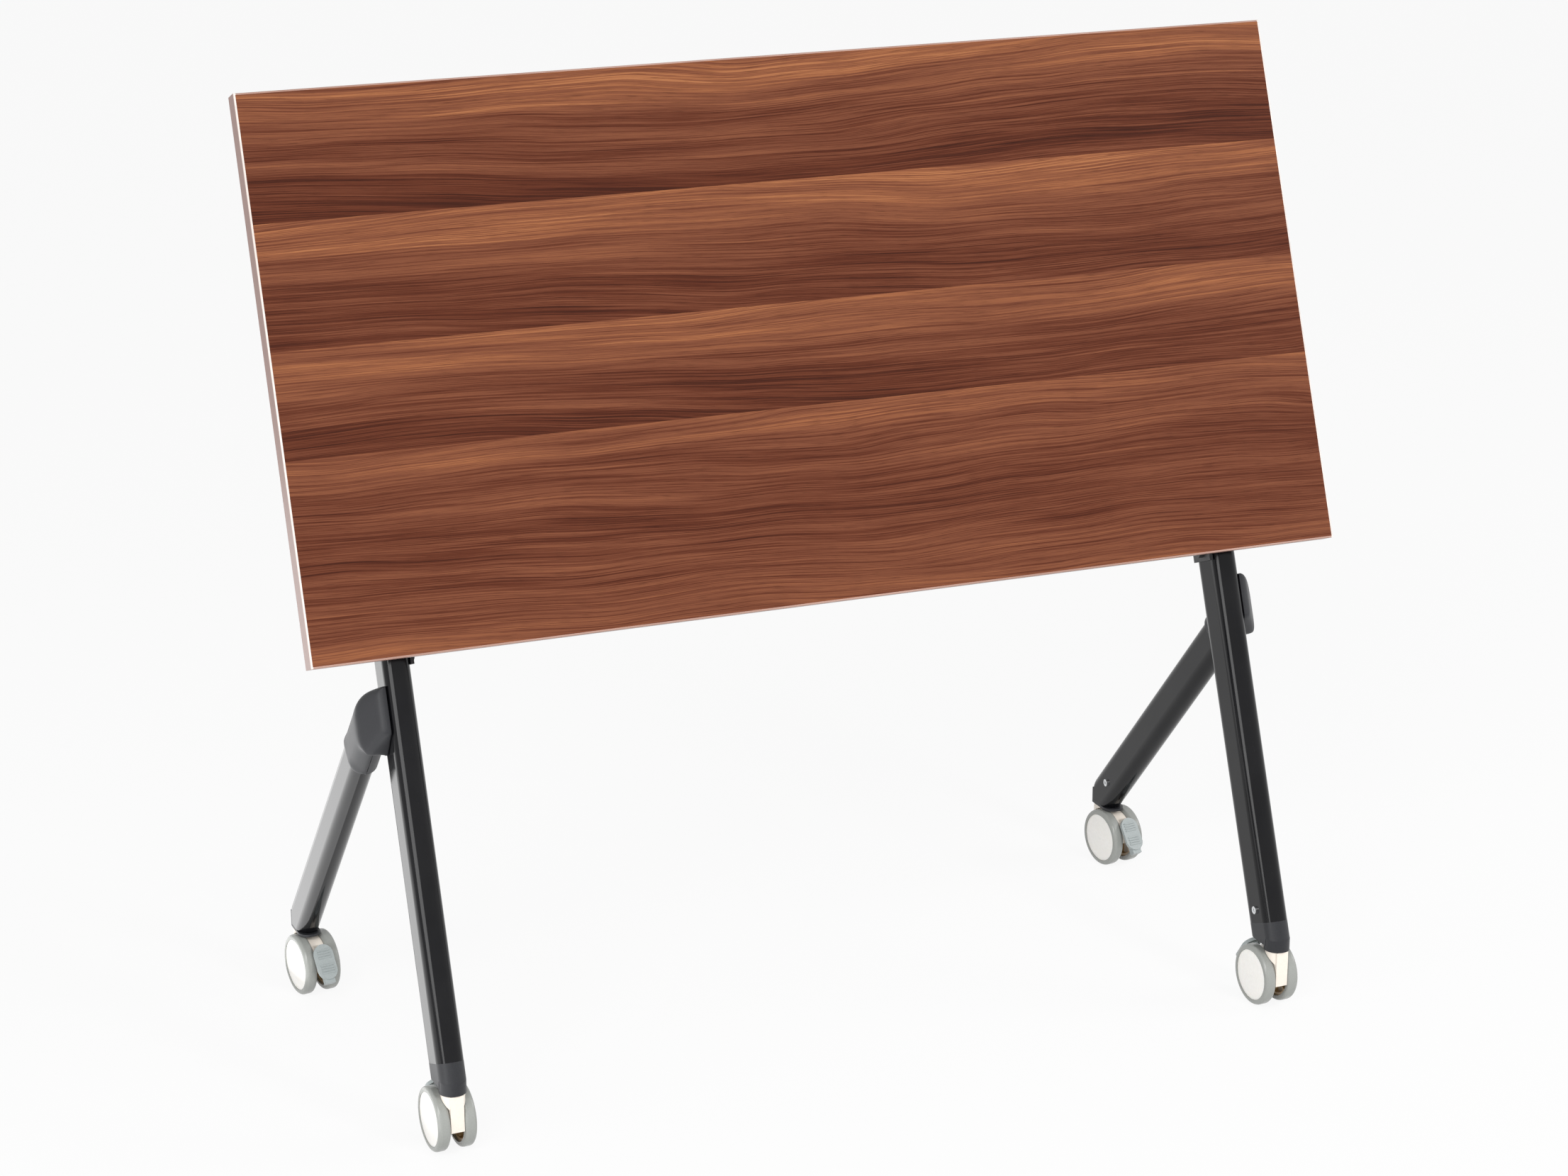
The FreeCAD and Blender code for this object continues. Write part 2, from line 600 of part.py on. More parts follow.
def latch_springs():
    """Torsion springs round the release shaft, beside the inner ears."""
    wire = number("spring_wire")
    pitch = number("spring_pitch")
    turns = number("spring_turns")
    if pitch - wire < 0.4:
        raise RuntimeError("spring turns are too close")
    print("least gap between spring turns", round(pitch - wire, 2))
    springs = []
    for name, side in SIDES:
        radius = number("spring_d") / 2
        path = Part.Wire(helix_arcs(radius, pitch, turns))
        section = ring(wire / 2, Vector(0, radius, 0), path.Edges[0].tangentAt(0))
        coil = path.makePipeShell([section], True, False)
        start = f"main_x - {EAR_OUTER} - seat - spring_wire / 2 - spring_pitch * spring_turns"
        coil.Placement = leaned(f"{side} * ({start}) + {(side - 1) // 2} * spring_pitch * spring_turns",
                                "shaft_y", "shaft_z")
        springs.append(coil)
    gathered = doc.addObject("Part::Feature", "latch_springs")
    gathered.Shape = Part.makeCompound(springs)
    keep(gathered, "latch_springs")


# Leg heads: a casting plugged into each front tube, with the pivot bore, two stop heels and a latch notch.
STOP = "(pivot_drop - sheet_steel - stop_gap)"


def leg_head(name, side):
    body = new_body(f"leg_head_{name}", leaned(x=f"{side} * main_x"))
    tube_front = "(main_behind - main_deep / 2)"
    tube_back = "(main_behind + main_deep / 2)"
    knuckle = circle(sketch(body, "YZ_Plane"), "0", "0", "2 * head_radius")
    pad(body, knuckle, "main_wide", middle=True)
    neck = outline(sketch(body, "YZ_Plane"), [
        (tube_front, "-head_collar"),
        (tube_back, "-head_collar"),
        (tube_back, "-head_collar / 2"),
        ("head_radius * 0.8", "head_radius * 0.2"),
        ("-head_radius * 0.8", "0")])
    pad(body, neck, "main_wide", middle=True)
    fold_stop = outline(sketch(body, "YZ_Plane"), [
        (f"-{STOP}", "0"),
        ("-head_radius / 2", "0"),
        ("-head_radius / 2", "-head_radius * 0.8"),
        (f"-{STOP}", "-stop_long")])
    pad(body, fold_stop, "main_wide", middle=True)
    flat_stop = outline(sketch(body, "YZ_Plane"), [
        (f"-{STOP} * sin(lean)", f"{STOP} * cos(lean)"),
        ("-head_radius * 0.7", "head_radius * 0.5"),
        ("head_radius * 0.5", "head_radius * 0.7"),
        (f"stop_long * cos(lean) - {STOP} * sin(lean)", f"{STOP} * cos(lean) + stop_long * sin(lean)")])
    pad(body, flat_stop, "main_wide", middle=True)
    plug = sketch(body, "XY_Plane", ("0", "0", "-head_collar"))
    oval(plug, "main_wide - 2 * tube_wall - 2 * fit", "main_deep - 2 * tube_wall - 2 * fit", "main_behind")
    pad(body, plug, "head_plug", back=True)
    track = outline(sketch(body, "YZ_Plane"), [
        ("-head_radius * cos(track_start)", "head_radius * sin(track_start)"),
        ("head_radius * cos(track_start)", "head_radius * sin(track_start)", "head_radius", -1),
        ("head_radius * 2", "head_radius * sin(track_start)"),
        ("head_radius * 2", "head_radius * 2"),
        ("-head_radius * 2", "head_radius * 2"),
        ("-head_radius * 2", "head_radius * sin(track_start)")])
    pocket(body, track, "hook_wide + 2 * hook_gap", middle=True)
    notch = sketch(body, "XZ_Plane", ("0", "0", "0"))
    box_outline(notch, "-hook_wide / 2 - hook_gap", "hook_wide / 2 + hook_gap",
                "head_radius * sin(lean) - notch_deep", "head_radius * sin(lean) + notch_deep / 2")
    bind(notch, "AttachmentOffset.Base.z", "notch_deep - head_radius")
    pocket(body, notch, "head_radius")
    bore = circle(sketch(body, "YZ_Plane"), "0", "0", "pin_d + 2 * bush_wall + 2 * fit")
    pocket(body, bore, FAR, middle=True)
    hole = circle(sketch(body, "YZ_Plane"), "main_behind", "-head_collar - leg_screw_up", "leg_screw_d + 2 * fit")
    bite = "main_wide / 2 - tube_wall - leg_screw_bite - fit"
    bind(hole, "AttachmentOffset.Base.z", f"{-side} * ({bite})")
    pocket(body, hole, FAR, along=side < 0)


def pivot_bushes():
    bushes = []
    for name, side in SIDES:
        place = leaned(x=f"{side} * main_x - main_wide / 2", turn=TO_RIGHT)
        sleeve = rod("pin_d + 2 * bush_wall", "main_wide", place)
        bore = rod("pin_d + 2 * fit", "main_wide", place)
        bushes.append(cut(sleeve, bore))
    group("pivot_bushes", bushes)


# Front leg tubes with their bolt and screw holes.
KNEE_BOLTS = [f"{KNEE_ALONG} + {step} * knee_bolt_step" for step in (-0.5, 0.5)]
BEAM_BOLTS = [f"-beam_drop + {step} * beam_bolt_step" for step in (-0.5, 0.5)]
FOOT_SCREW = f"{TUBE_LOW} + leg_screw_up"
HEAD_SCREW = "-head_collar - leg_screw_up"


def main_leg(name, side):
    body = new_body(f"main_leg_{name}", leaned(x=f"{side} * main_x"))
    section = sketch(body, "XY_Plane", ("0", "0", TUBE_LOW))
    oval(section, "main_wide", "main_deep", "main_behind")
    oval(section, "main_wide - 2 * tube_wall", "main_deep - 2 * tube_wall", "main_behind")
    pad(body, section, f"-head_collar - {TUBE_LOW}")
    outer = sketch(body, "YZ_Plane")
    for along in KNEE_BOLTS:
        circle(outer, "main_behind", along, "knee_bolt_d + 2 * fit")
    pocket(body, outer, "main_wide", along=side > 0)
    inner = sketch(body, "YZ_Plane")
    for along in BEAM_BOLTS:
        circle(inner, "main_behind", along, "bolt_d + 2 * fit")
    for along in (FOOT_SCREW, HEAD_SCREW):
        circle(inner, "main_behind", along, "leg_screw_d + 2 * fit")
    pocket(body, inner, "main_wide", along=side < 0)


# Rear leg tubes, lapped on the outer flat of the front tubes and mitred at the foot.
def rear_leg_placement(side):
    base = Vector(side * number(REAR_X), number("rear_foot_y"), number("foot_level"))
    return Placement(base, Rotation(X_AXIS, number("rear_lean")))


REAR_TOP = f"(({KNEE_Z} - foot_level) / cos(rear_lean))"
KNEE_TURN = "(lean + rear_lean)"
PLUG_SEAT = "(boss_bottom + plug_plate)"
COVER_INNER = "(main_x + main_wide / 2 + seat)"
COVER_OUTER = f"({REAR_X} + rear_wide / 2 + knee_wall)"


def rear_quad(y_low, y_high, z_low, z_high):
    """Corners of an upright rectangle in the frame of a rear leg."""
    return [rear_local(y, z) for y, z in ((y_low, z_low), (y_high, z_low), (y_high, z_high), (y_low, z_high))]


def rear_leg(name, side):
    body = new_body(f"rear_leg_{name}", rear_leg_placement(side))
    section = sketch(body, "XY_Plane", ("0", "0", "-foot_level"))
    oval(section, "rear_wide", "rear_deep")
    oval(section, "rear_wide - 2 * tube_wall", "rear_deep - 2 * tube_wall")
    pad(body, section, f"{REAR_TOP} + rear_deep + foot_level")
    below = outline(sketch(body, "YZ_Plane"), rear_quad("-top_depth", "top_depth", "-top_depth", PLUG_SEAT))
    pocket(body, below, FAR, middle=True)
    behind = rear_quad(f"{PLUG_REAR} - plug_plate", "top_depth", "-top_depth", "top_depth / 2")
    pocket(body, outline(sketch(body, "YZ_Plane"), behind), FAR, middle=True)
    knee_end(body, side, "0")
    bolts = sketch(body, "YZ_Plane")
    for along in KNEE_BOLTS:
        across, up = rear_local(*from_leaned("main_behind", f"({along})"))
        circle(bolts, across, up, "knee_bolt_d + 2 * fit")
    pocket(body, bolts, "rear_wide", along=side < 0)
    screw = circle(sketch(body, "YZ_Plane"), "0", "leg_screw_up", "leg_screw_d + 2 * fit")
    pocket(body, screw, "rear_wide", along=side < 0)


def knee_end(body, side, gap):
    """Cuts the upper end of a rear tube, or of the room for it, to lie inside the knee cover."""
    reach = "(rear_deep * 2)"
    top = f"({KNEE_ALONG} + knee_tube_top + {gap})"
    above = [rear_local(*from_leaned(f"(main_behind + {across})", f"({along})")) for across, along in (
        (f"-{reach}", top), (reach, top), (reach, f"{top} + {reach}"), (f"-{reach}", f"{top} + {reach}"))]
    pocket(body, outline(sketch(body, "YZ_Plane"), above), FAR, middle=True)
    slant = sketch(body, "XY_Plane", ("0", "0", REAR_TOP), f"-{KNEE_TURN}")
    slanting_face(slant, side, REAR_X, f"knee_tube_inset - {gap}", reach)
    pocket(body, slant, FAR, middle=True)


def slanting_face(drawn, side, middle, inset, reach):
    """All that lies before the knee cover's front face and slanting face, or an inset from them."""
    front = f"({inset} - knee_front)"
    outline(drawn, [
        (f"{side} * ({COVER_INNER} - {middle} - rear_wide)", front),
        (f"{side} * ({COVER_INNER} + knee_ridge - {middle})", front),
        (f"{side} * ({COVER_OUTER} - {middle})", f"{front} + knee_bevel"),
        (f"{side} * ({COVER_OUTER} - {middle} + rear_wide)", f"{front} + knee_bevel"),
        (f"{side} * ({COVER_OUTER} - {middle} + rear_wide)", f"-{reach}"),
        (f"{side} * ({COVER_INNER} - {middle} - rear_wide)", f"-{reach}")])


def from_leaned(y, z):
    """A point of the flip pivot's frame in the desk's YZ plane."""
    return (f"(pivot_y + {z} * sin(lean) + {y} * cos(lean))",
            f"({PIVOT_Z} + {z} * cos(lean) - {y} * sin(lean))")


# Knee joint: bolts from inside the rear tube into nut plates in the front tube, under a two-part cover.
def knee_bolts():
    bolts = []
    for name, side in SIDES:
        seat = f"{side} * (main_x + main_wide / 2 + lap_gap + tube_wall)"
        for along in KNEE_BOLTS:
            place = leaned(seat, "main_behind", along, TO_LEFT if side > 0 else TO_RIGHT)
            grip = "2 * tube_wall + lap_gap + sheet_steel"
            bolts.append(fastener("knee_bolt_head_d", "bolt_head_thick", "knee_bolt_d", grip, place))
    group("knee_bolts", bolts)


def nut_plate(side, wall, along, bolt, step):
    """Drilled plate against the inside of a tube wall: wall 1 is the outer flat, -1 the inner one."""
    body = doc.addObject("PartDesign::Body", "nut_plate")
    body.Placement = leaned(f"{side} * main_x", "main_behind", along)
    direction = side * wall
    face = sketch(body, "YZ_Plane", ("0", "0", f"{direction} * (main_wide / 2 - tube_wall)"))
    half = f"({step} / 2 + nut_plate_margin)"
    box_outline(face, "-nut_plate_wide / 2", "nut_plate_wide / 2", f"-{half}", half)
    pad(body, face, "sheet_steel", back=direction > 0)
    holes = sketch(body, "YZ_Plane")
    for end in (-0.5, 0.5):
        circle(holes, "0", f"{end} * {step}", f"{bolt} + 2 * fit")
    pocket(body, holes, FAR, middle=True)
    return body


def nut_plates():
    plates = []
    for name, side in SIDES:
        plates.append(nut_plate(side, 1, KNEE_ALONG, "knee_bolt_d", "knee_bolt_step"))
        plates.append(nut_plate(side, -1, "-beam_drop", "bolt_d", "beam_bolt_step"))
    group("nut_plates", plates)


def along_rear(down, across):
    """A point of the knee in the frame of the front leg, from its place along and across the rear leg."""
    return (f"({down} * sin{KNEE_TURN} + ({across}) * cos{KNEE_TURN})",
            f"(({across}) * sin{KNEE_TURN} - {down} * cos{KNEE_TURN})")


def knee_nose(drawn):
    """Outline of the cover's upper part, from its front face to where the sleeve begins."""
    return outline(drawn, [
        ("-knee_front", "-knee_low"),
        ("knee_crotch_back", "-knee_crotch"),
        along_rear("(knee_shoulder * 1.5)", "0"),
        along_rear("knee_shoulder", "(rear_deep / 2 + knee_wall)"),
        ("-knee_front", "knee_nose", "knee_arc", 1)])


def knee_sleeve(body, side):
    """The cover's lower part, a flat-oval sleeve round the rear leg."""
    start, height = along_rear("knee_sleeve", "0")
    section = sketch(body, "XY_Plane", (f"{side} * {REAR_X}", start, height), KNEE_TURN)
    oval(section, "rear_wide + 2 * knee_wall", "rear_deep + 2 * knee_wall")
    pad(body, section, "knee_sleeve - knee_shoulder")


def half_space(body, side, near, far, back="top_depth"):
    """Takes away what lies between two distances from the middle of the desk, as far back as given."""
    strip = sketch(body, "XY_Plane")
    box_outline(strip, f"{side} * {near}", f"{side} * {far}", "-top_depth", back)
    pocket(body, strip, FAR, middle=True)


def rear_tube_space(side):
    """The room that a rear tube and its seating gap take out of the knee cover."""
    body = doc.addObject("PartDesign::Body", "rear_tube_space")
    body.Placement = rear_leg_placement(side)
    section = oval(sketch(body, "XY_Plane"), "rear_wide + 2 * seat", "rear_deep + 2 * seat")
    pad(body, section, f"{REAR_TOP} + rear_deep")
    knee_end(body, side, "seat")
    return body


def knee_cover_outer(name, side):
    """Outer half with the nose, which reaches to the front leg, and half of the sleeve."""
    body = doc.addObject("PartDesign::Body", "knee_outer")
    body.Placement = leaned(y="main_behind", z=KNEE_ALONG)
    knee_sleeve(body, side)
    half_space(body, side, f"({COVER_INNER} - rear_wide)", REAR_X)
    nose = knee_nose(sketch(body, "YZ_Plane", ("0", "0", f"{side} * {COVER_INNER}")))
    pad(body, nose, f"{COVER_OUTER} - {COVER_INNER}", back=side < 0)
    outer = side * number(COVER_OUTER)
    fillet(body, "knee_round", lambda edge: lies_at(edge, X=outer) and edge.Curve.TypeId == "Part::GeomCircle")
    front = -number("knee_front")
    low = -number("knee_low")
    fillet(body, "knee_corner", lambda edge: lies_at(edge, Y=front, Z=low))
    slanting_face_cut = sketch(body, "XY_Plane")
    slanting_face(slanting_face_cut, side, "0", "0", "(rear_deep * 2)")
    pocket(body, slanting_face_cut, FAR, middle=True)
    ridge = side * number(f"{COVER_INNER} + knee_ridge")
    fillet(body, "knee_soft", lambda edge: lies_at(edge, X=ridge, Y=front))
    keep(cut(body, rear_tube_space(side)), f"knee_cover_outer_{name}")


def lies_at(edge, **place):
    """Whether an edge lies wholly at the given coordinates of its body."""
    box = edge.BoundBox
    ends = [(getattr(box, axis + end), at) for axis, at in place.items() for end in ("Min", "Max")]
    return all(abs(found - at) < 0.01 for found, at in ends)


def knee_cover_inner(name, side):
    """Inner half of the sleeve, below the nose."""
    body = doc.addObject("PartDesign::Body", "knee_inner")
    body.Placement = leaned(y="main_behind", z=KNEE_ALONG)
    knee_sleeve(body, side)
    half_space(body, side, REAR_X, f"({COVER_OUTER} + rear_wide)")
    half_space(body, side, f"({COVER_INNER} - rear_wide)", COVER_INNER, "(main_deep / 2 + seat)")
    pocket(body, knee_nose(sketch(body, "YZ_Plane")), "2 * top_width", middle=True)
    keep(cut(body, rear_tube_space(side)), f"knee_cover_inner_{name}")


# Crossbeam: a rectangular tube welded between two end plates, bolted to the inner flats of the front legs.
def crossbeam():
    body = new_body("crossbeam", leaned(y="main_behind", z="-beam_drop"))
    reach = "(main_x - main_wide / 2)"
    section = sketch(body, "YZ_Plane")
    for wall in ("0", "tube_wall"):
        half_wide = f"(beam_wide / 2 - {wall})"
        half_deep = f"(beam_deep / 2 - {wall})"
        box_outline(section, f"-{half_wide}", half_wide, f"-{half_deep}", half_deep)
    pad(body, section, f"2 * ({reach} - sheet_steel / 2)", middle=True)
    for name, side in SIDES:
        plate = sketch(body, "YZ_Plane", ("0", "0", f"{side} * {reach}"))
        box_outline(plate, "-beam_plate_deep / 2", "beam_plate_deep / 2",
                    "-beam_plate_long / 2", "beam_plate_long / 2")
        pad(body, plate, "sheet_steel", back=side > 0)
    holes = sketch(body, "YZ_Plane")
    for end in (-0.5, 0.5):
        circle(holes, "0", f"{end} * beam_bolt_step", "bolt_d + 2 * fit")
    pocket(body, holes, "2 * top_width", middle=True)


def crossbeam_bolts():
    bolts = []
    for name, side in SIDES:
        seat = f"{side} * (main_x - main_wide / 2 - sheet_steel)"
        for along in BEAM_BOLTS:
            place = leaned(seat, "main_behind", along, TO_RIGHT if side > 0 else TO_LEFT)
            grip = "2 * sheet_steel + tube_wall"
            bolts.append(fastener("bolt_head_d", "bolt_head_thick", "bolt_d", grip, place))
    group("crossbeam_bolts", bolts)


# Feet: front caps continue the front tubes, rear plugs close the mitred rear tubes, both socket a stem.
BOSS_TOP = "(cap_seam + seat - (swivel_forward + boss_d / 2 - main_deep / 2 / cos(lean)) / tan(lean))"


def foot_cap(name, side):
    body = new_body(f"foot_cap_{name}", Placement(Vector(side * number("main_x"), 0, 0), Rotation()))
    seam = ("0", SEAM_Y, "cap_seam")
    shell = oval(sketch(body, "XY_Plane", seam, "-lean"), "main_wide", "main_deep")
    pad(body, shell, "main_deep", back=True)
    below = sketch(body, "YZ_Plane")
    box_outline(below, "-top_depth", "top_depth", "-top_depth", "cap_bottom")
    pocket(body, below, FAR, middle=True)
    plug = sketch(body, "XY_Plane", seam, "-lean")
    oval(plug, "main_wide - 2 * tube_wall - 2 * fit", "main_deep - 2 * tube_wall - 2 * fit")
    pad(body, plug, "foot_plug")
    front = sketch(body, "YZ_Plane")
    box_outline(front, f"{FRONT_SWIVEL} - main_deep", FRONT_SWIVEL, "-top_depth", BOSS_TOP)
    pocket(body, front, FAR, middle=True)
    boss = circle(sketch(body, "XY_Plane", ("0", "0", "boss_bottom")), "0", FRONT_SWIVEL, "boss_d")
    pad(body, boss, f"{BOSS_TOP} - boss_bottom")
    stem = circle(sketch(body, "XY_Plane", ("0", "0", "stem_top + fit")), "0", FRONT_SWIVEL, "stem_d + 2 * fit")
    pocket(body, stem, "stem_top")
    y, z = from_leaned("main_behind", f"({FOOT_SCREW})")
    leg_screw_hole(body, y, z, "main_wide", side)


def leg_screw_hole(body, y, z, tube_wide, side):
    """Pilot hole for the screw on the inner flat of a leg."""
    bottom = f"{-side} * ({tube_wide} / 2 - tube_wall - leg_screw_bite - fit)"
    hole = circle(sketch(body, "YZ_Plane", ("0", "0", bottom)), y, z, "leg_screw_d + 2 * fit")
    pocket(body, hole, FAR, along=side < 0)


def foot_plug_rear(name, side):
    body = new_body(f"foot_plug_{name}", Placement(Vector(side * number(REAR_X), 0, 0), Rotation()))
    inside = sketch(body, "XY_Plane", ("0", "rear_foot_y", "foot_level"), "rear_lean")
    oval(inside, "rear_wide - 2 * tube_wall - 2 * fit", "rear_deep - 2 * tube_wall - 2 * fit")
    pad(body, inside, "2 * foot_plug", middle=True)
    for corners in (("-top_depth", "top_depth", "-top_depth", PLUG_SEAT),
                    (f"{PLUG_REAR} - plug_plate", "top_depth", "-top_depth", "top_depth")):
        pocket(body, box_outline(sketch(body, "YZ_Plane"), *corners), FAR, middle=True)
    ledge = outline(sketch(body, "YZ_Plane"), [
        (PLUG_FRONT, "boss_bottom"),
        (PLUG_REAR, "boss_bottom"),
        (PLUG_REAR, "plug_rear_top"),
        (f"{PLUG_REAR} - plug_plate", "plug_rear_top"),
        (f"{PLUG_REAR} - plug_plate", PLUG_SEAT),
        (PLUG_FRONT, PLUG_SEAT)])
    pad(body, ledge, "rear_wide", middle=True)
    front = number(PLUG_FRONT)
    fillet(body, "plug_corner", lambda edge: is_along(edge, Z_AXIS) and abs(edge.BoundBox.YMax - front) < 0.01)
    stem = circle(sketch(body, "XY_Plane", ("0", "0", "stem_top + fit")), "0", REAR_SWIVEL, "stem_d + 2 * fit")
    pocket(body, stem, "stem_top")
    y = "rear_foot_y - leg_screw_up * sin(rear_lean)"
    z = "foot_level + leg_screw_up * cos(rear_lean)"
    leg_screw_hole(body, y, z, "rear_wide", side)


def leg_screws():
    screws = []
    for name, side in SIDES:
        inwards = TO_RIGHT if side > 0 else TO_LEFT
        seat = f"{side} * (main_x - main_wide / 2)"
        for along in (FOOT_SCREW, HEAD_SCREW):
            place = leaned(seat, "main_behind", along, inwards)
            screws.append(leg_screw(place))
        local = Vector(-side * number("rear_wide") / 2, 0, number("leg_screw_up"))
        screws.append(leg_screw(rear_leg_placement(side).multiply(Placement(local, inwards))))
    group("leg_screws", screws)


def leg_screw(place):
    length = "tube_wall + leg_screw_bite"
    return fastener("leg_screw_head_d", "leg_screw_head_thick", "leg_screw_d", length, place)


# Casters: four twin-wheel casters with a hood between the wheels and a brake pedal.
CASTERS = [
    (f"{end}_{name}", f"{side} * {across}", swivel, heading)
    for end, across, swivel, heading in (
        ("front", "main_x", FRONT_SWIVEL, "front_yaw"),
        ("rear", REAR_X, REAR_SWIVEL, "180 + rear_yaw"))
    for name, side in SIDES]
WHEEL_R = "(wheel_d / 2)"
HOOD_R = f"({WHEEL_R} - hood_under / 2)"


def caster_stems():
    stems = []
    for name, x, swivel, heading in CASTERS:
        place = Placement(Vector(number(x), number(swivel), number("stem_low")), Rotation())
        stems.append(rod("stem_d", "stem_top - stem_low", place))
    group("caster_stems", stems)


def caster_placement(x, swivel, heading, local=Placement()):
    base = Placement(Vector(number(x), number(swivel), 0), Rotation(Z_AXIS, number(heading)))
    return base.multiply(local)


def caster_hood(name, placement):
    body = new_body(f"caster_hood_{name}", placement)
    back = f"(trail + {HOOD_R})"
    profile = outline(sketch(body, "YZ_Plane"), [
        ("-fin_front", "fin_low"),
        ("0", f"{WHEEL_R} - axle_d"),
        (f"trail + {HOOD_R} / 2", f"{WHEEL_R} - axle_d"),
        (back, WHEEL_R),
        ("trail", f"{WHEEL_R} + {HOOD_R}", HOOD_R, 1),
        ("collar_d / 2", "hood_top"),
        ("-fin_front", "hood_top")])
    pad(body, profile, "hood_wide", middle=True)
    collar = circle(sketch(body, "XY_Plane", ("0", "0", "collar_low")), "0", "0", "collar_d")
    pad(body, collar, "hood_top - collar_low")
    for side in (-1, 1):
        well = sketch(body, "YZ_Plane", ("0", "0", f"{side} * hood_wide / 2"))
        circle(well, "trail", WHEEL_R, f"2 * ({WHEEL_R} + well)")
        pocket(body, well, "wheel_d", along=side > 0)
    stem = circle(sketch(body, "XY_Plane", ("0", "0", "stem_low - seat")), "0", "0", "stem_d + 2 * fit")
    pocket(body, stem, "wheel_d", along=True)
    slot = outline(sketch(body, "YZ_Plane"), [
        ("trail + pedal_y - pedal_pin_d", f"{WHEEL_R} - axle_d * 1.5"),
        ("trail + wheel_d", f"{WHEEL_R} - axle_d * 1.5"),
        ("trail + wheel_d", "wheel_d * 1.5"),
        ("trail + pedal_y - pedal_pin_d", "wheel_d * 1.5")])
    pocket(body, slot, "pedal_slot", middle=True)
    bores = sketch(body, "YZ_Plane")
    circle(bores, "trail", WHEEL_R, "axle_d + 2 * fit")
    circle(bores, "trail + pedal_y", f"{WHEEL_R} + pedal_z", "pedal_pin_d + 2 * fit")
    pocket(body, bores, "wheel_d", middle=True)


def brake_pedal(name, placement):
    """Paddle with two groups of grip ribs, on an arm with trunnions in the hood."""
    body = new_body(f"brake_pedal_{name}", placement)
    face = "(pedal_out + pedal_thick)"
    middle = "(pedal_long / 2 - pedal_low)"
    plate = oval(sketch(body, "XZ_Plane", ("0", "0", "-pedal_out")), "pedal_wide", "pedal_long", middle)
    pad(body, plate, "pedal_thick", back=True)
    arm = outline(sketch(body, "YZ_Plane"), [
        ("-pedal_pin_d * 0.7", "-pedal_pin_d * 0.7"),
        ("pedal_out + pedal_thick / 2", "-pedal_pin_d * 1.6"),
        ("pedal_out + pedal_thick / 2", "pedal_pin_d * 1.2"),
        ("-pedal_pin_d * 0.7", "pedal_pin_d * 0.7")])
    pad(body, arm, "pedal_arm", middle=True)
    heel = sketch(body, "YZ_Plane")
    box_outline(heel, "pedal_out - pedal_thick * 1.5", "pedal_out + pedal_thick / 2",
                "-pedal_low - pedal_thick", "-pedal_low + pedal_thick * 3")
    pad(body, heel, "pedal_heel", middle=True)
    trunnion = circle(sketch(body, "YZ_Plane"), "0", "0", "pedal_pin_d")
    pad(body, trunnion, "hood_wide - seat", middle=True)
    for cluster in (-1, 1):
        ribs = sketch(body, "YZ_Plane")
        for step in (-1.5, -0.5, 0.5, 1.5):
            place = f"({middle} + {cluster} * rib_step * 3 + {step} * rib_step)"
            box_outline(ribs, f"{face} - rib_high", f"{face} + rib_high",
                        f"{place} - rib_thick / 2", f"{place} + rib_thick / 2")
        pad(body, ribs, "pedal_wide * 0.66", middle=True)


def tyre(name, placement):
    """Grey tyre, from its inner face at x = 0 to its outer face."""
    body = new_body(f"tyre_{name}", placement)
    bore = "(hub_d / 2 + fit)"
    section = outline(sketch(body, "XY_Plane"), [
        ("0", bore),
        ("wheel_wide", bore),
        ("wheel_wide", f"{WHEEL_R} - shoulder"),
        ("wheel_wide - shoulder", WHEEL_R, "shoulder", 1),
        ("shoulder", WHEEL_R),
        ("0", f"{WHEEL_R} - shoulder", "shoulder", 1)])
    revolve(body, section)


def hub(name, placement):
    """Hub moulding: domed outer disc, rim, boss and radial ribs that show on the inner side."""
    body = new_body(f"hub_{name}", placement)
    rim = "(hub_d / 2)"
    boss = "(hub_boss_d / 2)"
    bore = "(axle_d / 2 + fit)"
    skin = "(wheel_wide - hub_dome - hub_skin)"
    section = outline(sketch(body, "XY_Plane"), [
        ("wheel_wide - hub_skin", "0"),
        ("wheel_wide", "0"),
        ("wheel_wide - hub_dome", rim, "(hub_d ^ 2 / 4 + hub_dome ^ 2) / (2 * hub_dome)", 1),
        ("hub_rim", rim),
        ("hub_rim", f"{rim} - hub_rim"),
        (skin, f"{rim} - hub_rim"),
        (skin, boss),
        ("seat", boss),
        ("seat", bore),
        ("wheel_wide - hub_skin", bore)])
    revolve(body, section)
    rib = sketch(body, "XY_Plane")
    box_outline(rib, "hub_rim + hub_skin / 2", f"{skin} + hub_skin / 2", f"{boss} - hub_rim / 2", f"{rim} - hub_rim / 2")
    blade = pad(body, rib, "hub_rib_thick", middle=True)
    doc.recompute()
    ribs = body.newObject("PartDesign::PolarPattern", "ribs")
    ribs.Originals = [blade]
    ribs.Axis = (origin_part(body, "X_Axis"), [""])
    ribs.Angle = 360
    bind(ribs, "Occurrences", "hub_ribs")
    body.Tip = ribs


